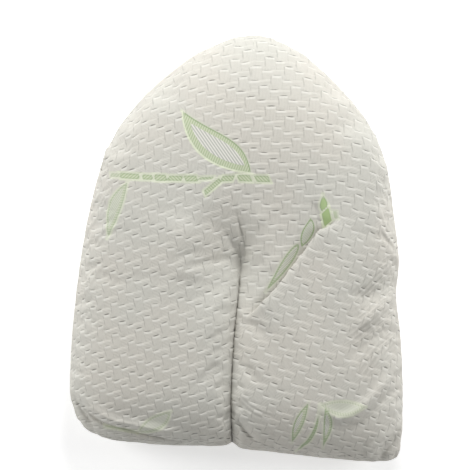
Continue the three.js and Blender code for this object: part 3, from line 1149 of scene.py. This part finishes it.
def raised_weave(arm, cloth, leaf_edge, relief):
    """How far the weave lifts each place, less in the leaves and by the seams."""
    height, gap, lip, _, _ = weave(cloth[..., 0], cloth[..., 1], MESH_SOFTNESS)
    calm = fade(*SEAM_CALM_RUN, arm.to_seam) * (1 - LEAF_CALM * fade(*LEAF_CALM_RUN, leaf_edge))
    return relief * (height - MIDDLE_HEIGHT - GAP_SINK * gap + LIP_STAND * lip) * calm


class PanelArm:
    """One arm's part of a panel: its form, how the weave lifts it, its cloth and its motifs."""

    def __init__(self, side, layer, relief, settled):
        arm = Arm(side, FINER)
        self.side = side
        self.notch = arm.notch
        self.flipped = (side == RIGHT) != (layer == BACK)
        self.numbers = np.arange(arm.x.size).reshape(arm.x.shape)
        shape = arm_surface(arm, layer)
        if settled is not None:
            shape = shape + finer_offsets(arm, settled[side, layer])
        shape = shape + surface_normals(shape, self.flipped) * seam_gathers(arm, layer)[..., None]
        off, _ = against(TUCK_LINE, arm.x, arm.y)
        self.lapped = (off > 0) & (side == RIGHT) & (layer == FACE)
        self.cloth, self.lap_cloth = cloth_places(arm, layer)
        if layer == FACE:
            fields = motif_fields(arm.x, arm.y, self.lapped)
        else:
            fields = motif_fields(BACK_MIRROR - arm.x, arm.y - BACK_RISE, self.lapped)
        self.motifs = np.stack(fields, axis=-1)
        seen_cloth = np.where(self.lapped[..., None], self.lap_cloth, self.cloth)
        self.lift = raised_weave(arm, seen_cloth, fields[0], relief)
        self.out = surface_normals(shape, self.flipped)
        pinch_seam(arm, shape)
        self.shape = shape
        self.foot = arm.plan[-1, : arm.notch + 1] + [OFF_CENTRE[side] * WALL_GAP, 0.0]

    def places(self):
        """The places of the panel's points, none of them below the floor."""
        moved = self.shape + self.out * self.lift[..., None]
        moved[..., 2] = np.maximum(moved[..., 2], 0.0)
        return moved


def join_arms(left, right):
    """Lets both arms share their points on the line above the notch."""
    shared = slice(left.notch, None)
    for name in ("shape", "lift", "out"):
        on_left = getattr(left, name)
        on_right = getattr(right, name)
        mean = (on_left[-1, shared] + on_right[-1, shared]) / 2
        on_left[-1, shared] = mean
        on_right[-1, shared] = mean
    right.numbers = right.numbers + left.numbers.size
    right.numbers[-1, shared] = left.numbers[-1, shared]


def build_panel(layer, settings, settled):
    """Makes the front or back panel as one mesh, with the cloth's coordinates and its leaves."""
    arms = [PanelArm(side, layer, settings.weave_relief / MM, settled) for side in (LEFT, RIGHT)]
    join_arms(*arms)
    surfaces = [arm.places() for arm in arms]
    places = [surface.reshape(-1, 3) for surface in surfaces]
    fields = [arm.motifs.reshape(-1, len(NO_MOTIF)) for arm in arms]
    total = sum(len(part) for part in places)
    faces = []
    cloths = []

    # Each arm's wall of the slit goes from its rim to the seam's height, where it meets the other
    for arm, surface in zip(arms, surfaces):
        rim = (-1, slice(0, arm.notch + 1))
        rows, row_numbers = slit_wall(surface[rim], arm.foot, arm.numbers[rim], total)
        added = rows[1:].reshape(-1, 3)
        places.append(added)
        fields.append(np.tile(NO_MOTIF, (len(added), 1)))
        total += len(added)
        wall_cloth = wall_coordinates(arm.lap_cloth[rim], rows, arm.side)
        for quads, cloth in (
            panel_faces(arm.numbers, arm.cloth, arm.lap_cloth, arm.lapped, arm.flipped),
            panel_faces(row_numbers, wall_cloth, wall_cloth, None, arm.flipped),
        ):
            faces.append(quads)
            cloths.append(cloth)

    name = "front_panel" if layer == FACE else "back_panel"
    return make_mesh(name, *(np.vstack(parts) for parts in (places, faces, cloths, fields)))


def slit_wall(rim, foot, rim_numbers, total):
    """Rows of places over the wall of the slit, from a panel's rim to its foot at the seam's
    height, where the two arms' walls all but meet."""
    steps = np.arange(WALL_STEPS + 1) / WALL_STEPS
    rows = np.repeat(rim[None], WALL_STEPS + 1, axis=0)
    closing = np.sin(np.pi / 2 * steps)[:, None, None]
    rows[..., :2] = rows[..., :2] * (1 - closing) + foot[None] * closing
    rows[..., 2] = rim[None, :, 2] + steps[:, None] * (SEAM_HEIGHT - rim[:, 2])[None]
    numbers = total + np.arange(WALL_STEPS * len(rim)).reshape(WALL_STEPS, len(rim))
    return rows, np.vstack([rim_numbers[None], numbers])


def wall_coordinates(rim_cloth, rows, side):
    """The cloth runs on over the wall of the slit from its rim."""
    deep = np.abs(rows[..., 2] - rows[:1, :, 2])
    cloth = np.repeat(rim_cloth[None], len(rows), axis=0)
    cloth[..., 0] -= OFF_CENTRE[side] * deep
    return cloth


def panel_faces(numbers, cloth, lap_cloth, lapped, flipped):
    """Faces over a grid and the cloth's coordinates at each of their corners."""

    def corners(values):
        parts = [values[:-1, :-1], values[1:, :-1], values[1:, 1:], values[:-1, 1:]]
        stacked = np.stack(parts, axis=2)
        return stacked[:, :, ::-1] if flipped else stacked

    shown = corners(cloth)
    if lapped is not None:
        mostly = corners(lapped).sum(axis=2) > 2
        shown = np.where(mostly[..., None, None], corners(lap_cloth), shown)
    return corners(numbers).reshape(-1, 4), shown.reshape(-1, 4, 2)


def make_mesh(name, places, quads, cloth, fields):
    """One mesh from places in millimetres, with the cloth's coordinates and the leaves' fields."""
    wide = np.array([len(set(quad)) == 4 for quad in quads.tolist()])
    quads = quads[wide]
    cloth = cloth[wide]
    used = np.zeros(len(places), bool)
    used[quads.ravel()] = True
    renumbered = np.cumsum(used) - 1
    mesh = bpy.data.meshes.new(name)
    mesh.from_pydata((places[used] * MM).tolist(), [], renumbered[quads].tolist())
    layer = mesh.uv_layers.new(name="cloth")
    layer.uv.foreach_set("vector", (cloth * MM).astype(np.float32).ravel())
    for title, columns in (("leaf_shape", slice(0, 3)), ("leaf_hatch", slice(3, 6))):
        attribute = mesh.attributes.new(title, "FLOAT_VECTOR", "POINT")
        attribute.data.foreach_set("vector", fields[used][:, columns].astype(np.float32).ravel())
    ink = mesh.attributes.new("leaf_ink", "FLOAT", "POINT")
    ink.data.foreach_set("value", fields[used][:, -1].astype(np.float32))
    mesh.polygons.foreach_set("use_smooth", np.ones(len(mesh.polygons), bool))
    mesh.validate()
    mesh.update()
    panel = bpy.data.objects.new(name, mesh)
    bpy.context.scene.collection.objects.link(panel)
    return panel


# The thread of the edge seam

# Each stitch bows out of the seam's groove by the bow and sinks back in and tapers at both ends
STITCH_RADIUS = 0.42
STITCH_TAPER = 0.6
STITCH_SIDES = 6
STITCH_STEPS = 5
STITCH_HEIGHT = 3.2
STITCH_LEAN = 0.55
STITCH_BOW = 0.5
STITCH_SINK = 0.9
UNSTITCHED_END = 22.0
SEAM_SAMPLES = 4000


def edge_stitches(length):
    """Slanting stitches that cross the groove of the outer seam, joined in one mesh."""
    shares = np.linspace(0, 1, SEAM_SAMPLES)
    dense = stretch(SEAM, "left inner corner", "right inner corner", shares)
    whole = lengths_along(dense)[-1]
    at = np.arange(UNSTITCHED_END, whole - UNSTITCHED_END, length)
    centre = read_by_length(dense, at / whole)
    ahead = read_by_length(dense, (at + 1) / whole) - read_by_length(dense, (at - 1) / whole)
    ahead = ahead / np.linalg.norm(ahead, axis=1, keepdims=True)
    out = np.stack([-ahead[:, 1], ahead[:, 0]], axis=1)

    # Along each stitch from -1 to 1: rows are stitches, then steps, then the points of a ring
    run = np.linspace(-1, 1, STITCH_STEPS)[None, :, None]
    angle = (np.arange(STITCH_SIDES) * math.tau / STITCH_SIDES)[None, None, :]
    radius = STITCH_RADIUS * np.sqrt(1 - STITCH_TAPER * run**4)
    outward = STITCH_BOW - SEAM_PINCH - STITCH_SINK * run**2 + radius * np.cos(angle)
    tilt = math.atan2(length * STITCH_LEAN, STITCH_HEIGHT)
    sideways = run * length * STITCH_LEAN / 2 + radius * np.sin(angle) * math.cos(tilt)
    upward = run * STITCH_HEIGHT / 2 - radius * np.sin(angle) * math.sin(tilt)
    plan = centre[:, None, None] + out[:, None, None] * outward[..., None]
    plan = plan + ahead[:, None, None] * sideways[..., None]
    height = np.broadcast_to(SEAM_HEIGHT + upward, plan.shape[:3])
    places = np.concatenate([plan, height[..., None]], axis=-1).reshape(-1, 3)

    rings = np.arange(len(places)).reshape(len(at), STITCH_STEPS, STITCH_SIDES)
    turned_on = np.roll(rings, -1, axis=2)
    corners = [rings[:, :-1], turned_on[:, :-1], turned_on[:, 1:], rings[:, 1:]]
    faces = np.stack(corners, axis=-1).reshape(-1, 4).tolist()
    faces += rings[:, 0, ::-1].tolist() + rings[:, -1].tolist()
    mesh = bpy.data.meshes.new("edge_seam")
    mesh.from_pydata((places * MM).tolist(), [], faces)
    mesh.polygons.foreach_set("use_smooth", np.ones(len(mesh.polygons), bool))
    thread = bpy.data.objects.new("edge_seam", mesh)
    bpy.context.scene.collection.objects.link(thread)
    return thread


# Materials

# Noises over an object's space: their scale and detail
BROAD_NOISE = (7.0, 2.0)
FUZZ_NOISE = (900.0, 3.0)
SPECK_NOISE = (260.0, 2.0)
THREAD_NOISE = (1400.0, 2.0)
FLOOR_NOISE = (40.0, 2.0)

# Where the parts of a motif fade in or out, in millimetres inside its edge
EDGE_RUN = (-0.6, 0.6)
OPEN_CLOTH_RUN = (-3.0, 0.0)
LINE_RUN = (1.6, 2.8)
CREAM_RUN = (-4.4, -2.6)

# Where swings and noises fade from one colour to the next
STROKE_RUN = (-0.2, 0.7)
STRIPE_RUN = (-0.5, 0.5)
BROAD_RUN = (0.35, 0.65)
THREAD_RUN = (0.3, 0.7)

# How strongly the weave's painted shade darkens the knit in its gaps, grooves and low parts, how
# strongly random specks vary its tone, and how strongly the painted highlight lightens its lips
MATERIAL_SOFTNESS = 0.6
GAP_SHADE = 0.72
GROOVE_SHADE = 0.24
LOW_SHADE = 0.05
SPECK_SHADE = 0.20
LIP_HIGHLIGHT = 0.38

# How strongly each part of a motif is coloured where its ink is 1
CREAM_TINT = 0.8
STROKE_TINT = 0.9
BAND_TINT = 0.8
RIBBED_TINT = 0.7
SOLID_TINT = 0.85
LINE_TINT = 0.9

# Heights of the bump, in millimetres
BLOCK_BUMP = 0.25
GAP_BUMP = 0.30
GROOVE_BUMP = 0.16
LIP_BUMP = 0.06
RIB_BUMP = 0.13
MOTIF_BUMP = 0.10
FUZZ_BUMP = 0.10
SPECK_BUMP = 0.06
THREAD_BUMP = 0.2

# The shaders' own values
WHITE = (1.0, 1.0, 1.0, 1.0)
COVER_ROUGHNESS = 0.86
FUZZ_ROUGHNESS = 0.10
COVER_VALUES = {"Sheen Weight": 0.12, "Sheen Roughness": 0.6, "Specular IOR Level": 0.25}
THREAD_VALUES = {"Roughness": 0.7}
FLOOR_VALUES = {
    "Roughness": 0.9,
    "Specular IOR Level": 0.1,
    "Emission Color": WHITE,
    "Emission Strength": 0.4,
}
FLOOR_DIMMER = 0.985


def new_material(name):
    """A material with its nodes cleared to the shader and the output."""
    material = bpy.data.materials.new(name)
    material.use_nodes = True
    tree = material.node_tree
    tree.nodes.clear()
    shader = tree.nodes.new("ShaderNodeBsdfPrincipled")
    output = tree.nodes.new("ShaderNodeOutputMaterial")
    tree.links.new(shader.outputs[0], output.inputs[0])
    return material, tree, shader


def set_values(node, values):
    """Sets constants on a node's sockets by name."""
    for name, value in values.items():
        node.inputs[name].default_value = value


def add_bump(tree, shader, relief, distance):
    """Gives a shader a bump as high as the relief times the distance."""
    bump = tree.nodes.new("ShaderNodeBump")
    bump.inputs["Strength"].default_value = 1.0
    bump.inputs["Distance"].default_value = distance
    feed(tree, relief, bump.inputs["Height"])
    tree.links.new(bump.outputs[0], shader.inputs["Normal"])


def blend(tree, share, first, second):
    """A colour between two, at a share that may be a wire."""
    node = tree.nodes.new("ShaderNodeMix")
    node.data_type = "RGBA"
    feed(tree, share, node.inputs["Factor"])
    first_place, second_place = (socket for socket in node.inputs if socket.type == "RGBA")
    feed(tree, first, first_place)
    feed(tree, second, second_place)
    return next(socket for socket in node.outputs if socket.type == "RGBA")


def noise(tree, kind):
    """Even noise over the object's own space."""
    scale, detail = kind
    place = tree.nodes.new("ShaderNodeTexCoord")
    node = tree.nodes.new("ShaderNodeTexNoise")
    node.inputs["Scale"].default_value = scale
    node.inputs["Detail"].default_value = detail
    tree.links.new(place.outputs["Object"], node.inputs["Vector"])
    return Wire(tree, node.outputs["Fac"])


def parts_of(tree, name):
    """The three numbers of a mesh's named attribute."""
    source = tree.nodes.new("ShaderNodeAttribute")
    source.attribute_name = name
    apart = tree.nodes.new("ShaderNodeSeparateXYZ")
    tree.links.new(source.outputs["Vector"], apart.inputs[0])
    return [Wire(tree, socket) for socket in apart.outputs]


def opaque(colour):
    """A colour with its fourth number, at no transparency."""
    return (*colour, 1.0)


def cover_material(settings):
    """White knit: basket weave, ribs and fuzz, with the leaves' greens worked in."""
    material, tree, shader = new_material("cover_knit")
    u, v, _ = parts_of(tree, "cloth")
    u = u * (1 / MM)
    v = v * (1 / MM)
    height, gap, lip, groove, upright = weave(u, v, MATERIAL_SOFTNESS)
    edge, core, outline = parts_of(tree, "leaf_shape")
    strokes, stripes, full = parts_of(tree, "leaf_hatch")
    ink, _, _ = parts_of(tree, "leaf_ink")

    inside = fade(*EDGE_RUN, edge)
    open_cloth = 1 - fade(*OPEN_CLOTH_RUN, edge)
    in_core = fade(*EDGE_RUN, core) * inside
    in_band = inside - in_core
    line = inside * (1 - fade(*LINE_RUN, edge)) * outline
    cream = fade(*CREAM_RUN, edge) * (1 - inside) * (1 - outline)
    stroke = fade(*STROKE_RUN, wave(strokes))
    stripe = fade(*STRIPE_RUN, wave(stripes))

    broad = noise(tree, BROAD_NOISE)
    fuzz = noise(tree, FUZZ_NOISE)
    specks = noise(tree, SPECK_NOISE)
    warm = opaque(settings.cover_warm)
    cool = opaque(settings.cover_cool)
    # Painted shade where shade falls in the weave's gaps, grooves and low parts, with random specks of
    # tone
    shade = (gap * GAP_SHADE + groove * GROOVE_SHADE + (1 - height) * LOW_SHADE) * open_cloth
    shade = (shade + (0.5 - specks) * SPECK_SHADE).maths("MAXIMUM", 0.0)
    green = opaque(settings.leaf_green)
    green = blend(tree, stroke * STROKE_TINT, opaque(settings.leaf_pale), green)
    grey = opaque(settings.stripe_grey)
    ribbed = blend(tree, stripe, opaque(settings.highlight_and_pale_white), grey)
    colour = blend(tree, fade(*BROAD_RUN, broad), cool, warm)
    for share, over in (
        (shade, opaque(settings.painted_shade_colour)),
        # Painted highlight on the weave's lips
        (lip * open_cloth * LIP_HIGHLIGHT, opaque(settings.highlight_and_pale_white)),
        (cream * ink * CREAM_TINT, opaque(settings.leaf_cream)),
        (in_band * ink * BAND_TINT, green),
        (in_core * (1 - full) * ink * RIBBED_TINT, ribbed),
        (in_core * full * ink * SOLID_TINT, opaque(settings.leaf_solid)),
        (line * ink * LINE_TINT, opaque(settings.leaf_line)),
    ):
        colour = blend(tree, share, colour, over)
    tree.links.new(colour, shader.inputs["Base Color"])

    ribs = wave(u * (1 / RIB_PITCH)) * upright + wave(v * (1 / RIB_PITCH)) * (1 - upright)
    relief = height * BLOCK_BUMP - gap * GAP_BUMP - groove * GROOVE_BUMP
    relief = (relief + lip * LIP_BUMP + ribs * RIB_BUMP) * open_cloth
    relief = relief + (stripe * in_core - stroke * in_band) * MOTIF_BUMP
    relief = relief + fuzz * FUZZ_BUMP + specks * SPECK_BUMP
    add_bump(tree, shader, relief, MM)
    feed(tree, COVER_ROUGHNESS + FUZZ_ROUGHNESS * fuzz, shader.inputs["Roughness"])
    set_values(shader, COVER_VALUES)
    return material


def thread_material(settings):
    """White sewing thread with a fine twist."""
    material, tree, shader = new_material("seam_thread")
    grain = noise(tree, THREAD_NOISE)
    cool = opaque(settings.cover_cool)
    colour = blend(tree, fade(*THREAD_RUN, grain), cool, opaque(settings.highlight_and_pale_white))
    tree.links.new(colour, shader.inputs["Base Color"])
    add_bump(tree, shader, grain, THREAD_BUMP * MM)
    set_values(shader, THREAD_VALUES)
    return material


def floor_material(settings):
    """Plain pale matt floor, lit a little from below as a light table is."""
    material, tree, shader = new_material("studio_floor")
    grain = noise(tree, FLOOR_NOISE)
    pale = opaque(settings.floor_colour)
    dimmer = opaque([part * FLOOR_DIMMER for part in settings.floor_colour])
    tree.links.new(blend(tree, grain, pale, dimmer), shader.inputs["Base Color"])
    set_values(shader, FLOOR_VALUES)
    return material


def dress(piece, material):
    """Gives a piece its material."""
    piece.data.materials.append(material)


def stand_for_solid(piece):
    """The piece rides on the pillow's body and stands for the solid, which is hidden."""
    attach(piece, BODY)
    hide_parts(SOLID)


# Settings, operators and the panel that lists them


def colour_setting(name, description, default):
    """A colour that the sidebar lists."""
    return bpy.props.FloatVectorProperty(
        name=name,
        description=description,
        default=default,
        subtype="COLOR",
        min=0.0,
        max=1.0,
        size=3,
    )


class VPillowCoverSettings(bpy.types.PropertyGroup):
    """How the cover is filled, sewn and coloured"""

    weave_relief: bpy.props.FloatProperty(
        name="Weave Relief",
        description="How far the basket weave is raised",
        default=1.45 * MM,
        min=0.0,
        max=3.0 * MM,
        unit="LENGTH",
    )
    fill_pressure: bpy.props.FloatProperty(
        name="Filling Pressure",
        description="How hard the filling presses on the cover while it settles",
        default=FILL_PRESSURE,
        min=0.0,
        max=10.0,
    )
    fullness: bpy.props.FloatProperty(
        name="Fullness",
        description="How tightly the pillow is filled",
        default=0.75,
        min=0.0,
        max=1.0,
        subtype="FACTOR",
    )
    stitch_length: bpy.props.FloatProperty(
        name="Stitch Length",
        description="Length of one stitch of the edge seam",
        default=3.6 * MM,
        min=1.0 * MM,
        max=10.0 * MM,
        unit="LENGTH",
    )
    cover_warm: colour_setting("Cover, Warm", "Warm part of the white knit", (0.62, 0.598, 0.540))
    cover_cool: colour_setting("Cover, Cool", "Cool part of the white knit", (0.60, 0.591, 0.538))
    # Painted shade for the weave's gaps, grooves and low parts
    painted_shade_colour: colour_setting("Weave Shade", "Shaded gaps of the weave", (0.16, 0.155, 0.135))
    # Painted highlight on the weave's lips, and also the pale of the leaves' stripes and of the thread
    highlight_and_pale_white: colour_setting("Highlight and Pale White", "Bright edges of the weave", (0.80, 0.79, 0.74))
    leaf_green: colour_setting("Leaf Green", "Green of the leaves' strokes", (0.33, 0.44, 0.21))
    leaf_pale: colour_setting("Leaf Pale Green", "Pale green ground of the leaves", (0.55, 0.60, 0.43))
    leaf_line: colour_setting("Leaf Outline", "Darker green outline", (0.26, 0.35, 0.19))
    leaf_solid: colour_setting("Leaf Solid Green", "Green of the solid motifs", (0.35, 0.49, 0.19))
    leaf_cream: colour_setting("Leaf Cream", "Cream edge along the motifs", (0.70, 0.76, 0.55))
    stripe_grey: colour_setting("Leaf Stripes", "Shaded stripes inside the leaves", (0.40, 0.42, 0.38))


class VPillowStageSettings(bpy.types.PropertyGroup):
    """The floor, the lights' strength and the camera"""

    floor_colour: colour_setting("Floor", "Colour of the studio floor", (0.90, 0.90, 0.90))
    camera_height: bpy.props.FloatProperty(
        name="Camera Height",
        description="How far the camera is above the pillow's seam",
        default=2.5,
        min=1.0,
        max=5.0,
        unit="LENGTH",
    )
    seen_width: bpy.props.FloatProperty(
        name="Seen Width",
        description="Width of the view at the height of the seam",
        default=0.828,
        min=0.1,
        max=3.0,
        unit="LENGTH",
    )
    roll: bpy.props.FloatProperty(
        name="Camera Roll",
        description="How far the camera is turned about its own line of sight",
        default=math.radians(2.4),
        subtype="ANGLE",
    )
    light_strength: bpy.props.FloatProperty(
        name="Light Strength",
        description="Power of the studio lights, as a share of their usual power",
        default=1.0,
        min=0.0,
        max=5.0,
        subtype="FACTOR",
    )


# What the two panels share once it is made
SHARED = {}


def settled_filling(settings):
    if "settled" not in SHARED:
        SHARED["settled"] = settle_filling(settings.fill_pressure)
    return SHARED["settled"]


def shared_cover(settings):
    """The cover's material, made once for both panels."""
    if "cover" not in SHARED:
        SHARED["cover"] = cover_material(settings)
    return SHARED["cover"]


class VPILLOW_OT_front_panel(bpy.types.Operator):
    """Make the front panel, with its valley, tuck, folds and leaves"""

    bl_idname = "vpillow.front_panel"
    bl_label = "Front Panel"

    def execute(self, context):
        settings = context.scene.v_pillow_cover
        panel = build_panel(FACE, settings, settled_filling(settings))
        dress(panel, shared_cover(settings))
        stand_for_solid(panel)
        return {"FINISHED"}


class VPILLOW_OT_back_panel(bpy.types.Operator):
    """Make the back panel, flat where the pillow rests"""

    bl_idname = "vpillow.back_panel"
    bl_label = "Back Panel"

    def execute(self, context):
        settings = context.scene.v_pillow_cover
        panel = build_panel(BACK, settings, settled_filling(settings))
        dress(panel, shared_cover(settings))
        stand_for_solid(panel)
        return {"FINISHED"}


class VPILLOW_OT_edge_seam(bpy.types.Operator):
    """Make the stitches that join the two panels all round"""

    bl_idname = "vpillow.edge_seam"
    bl_label = "Edge Seam"

    def execute(self, context):
        settings = context.scene.v_pillow_cover
        thread = edge_stitches(settings.stitch_length / MM)
        dress(thread, thread_material(settings))
        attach(thread, BODY)
        return {"FINISHED"}


# The studio's soft lights: where each stands and points, its size, and its power in watts
LIGHTS = (
    ("top_light", (0.2, 1.6, 1.1), (0.0, 0.1, 0.06), 0.8, 24.5),
    ("left_light", (-1.9, 0.35, 1.0), (0.0, 0.0, 0.06), 0.9, 20.0),
    ("right_light", (1.9, 0.3, 1.0), (0.0, 0.0, 0.06), 0.9, 13.0),
    ("front_light", (1.0, -1.7, 1.0), (0.0, 0.0, 0.06), 0.9, 1.5),
)
SKY_STRENGTH = 0.33

# The floor, and where the view is centred on the plane of the seam
FLOOR_HALF = 6.0
VIEW_CENTRE = (-0.0136, 0.0181)
SENSOR = 36.0


def area_light(name, place, target, size, power):
    """A round soft light that points at its target."""
    light = bpy.data.lights.new(name, "AREA")
    light.shape = "DISK"
    light.size = size
    light.energy = power
    lamp = bpy.data.objects.new(name, light)
    lamp.location = place
    lamp.rotation_euler = (Vector(target) - Vector(place)).to_track_quat("-Z", "Y").to_euler()
    bpy.context.scene.collection.objects.link(lamp)


class VPILLOW_OT_stage(bpy.types.Operator):
    """Make the floor, the soft studio light and the camera above the pillow's face"""

    bl_idname = "vpillow.stage"
    bl_label = "Stage"

    def execute(self, context):
        settings = context.scene.v_pillow_stage
        mesh = bpy.data.meshes.new("studio_floor")
        signs = ((-1, -1), (1, -1), (1, 1), (-1, 1))
        corners = [(x * FLOOR_HALF, y * FLOOR_HALF, 0) for x, y in signs]
        mesh.from_pydata(corners, [], [(0, 1, 2, 3)])
        ground = bpy.data.objects.new("studio_floor", mesh)
        context.scene.collection.objects.link(ground)
        dress(ground, floor_material(settings))

        power = settings.light_strength
        for name, place, target, size, watts in LIGHTS:
            area_light(name, place, target, size, watts * power)
        world = bpy.data.worlds.new("studio")
        world.use_nodes = True
        sky = world.node_tree.nodes["Background"]
        set_values(sky, {"Color": WHITE, "Strength": SKY_STRENGTH * power})
        context.scene.world = world
        context.scene.view_settings.view_transform = "Standard"

        lens = bpy.data.cameras.new("camera")
        lens.sensor_width = SENSOR
        lens.lens = SENSOR * settings.camera_height / settings.seen_width
        camera = bpy.data.objects.new("camera", lens)
        camera.location = (*VIEW_CENTRE, SEAM_HEIGHT * MM + settings.camera_height)
        camera.rotation_euler = (0.0, 0.0, settings.roll)
        context.scene.collection.objects.link(camera)
        context.scene.camera = camera
        return {"FINISHED"}


class VPILLOW_PT_sidebar(bpy.types.Panel):
    """Lists the pillow's settings and the steps that build it"""

    bl_idname = "VPILLOW_PT_sidebar"
    bl_label = "V Pillow"
    bl_space_type = "VIEW_3D"
    bl_region_type = "UI"
    bl_category = "V Pillow"

    def draw(self, context):
        for settings in (context.scene.v_pillow_cover, context.scene.v_pillow_stage):
            box = self.layout.box()
            for name in settings.bl_rna.properties.keys():
                if name not in ("rna_type", "name"):
                    box.prop(settings, name)
        for step in STEPS:
            self.layout.operator(step.bl_idname)


STEPS = (VPILLOW_OT_stage, VPILLOW_OT_front_panel, VPILLOW_OT_back_panel, VPILLOW_OT_edge_seam)
CLASSES = (VPillowCoverSettings, VPillowStageSettings, *STEPS, VPILLOW_PT_sidebar)


def register():
    """Makes the classes and their settings known to Blender."""
    for each in CLASSES:
        bpy.utils.register_class(each)
    bpy.types.Scene.v_pillow_cover = bpy.props.PointerProperty(type=VPillowCoverSettings)
    bpy.types.Scene.v_pillow_stage = bpy.props.PointerProperty(type=VPillowStageSettings)


def unregister():
    """Takes them away again."""
    del bpy.types.Scene.v_pillow_stage
    del bpy.types.Scene.v_pillow_cover
    for each in reversed(CLASSES):
        bpy.utils.unregister_class(each)


def main():
    """Builds everything in order."""
    register()
    bpy.ops.vpillow.stage()
    bpy.ops.vpillow.front_panel()
    bpy.ops.vpillow.back_panel()
    bpy.ops.vpillow.edge_seam()


if __name__ == "__main__":
    main()
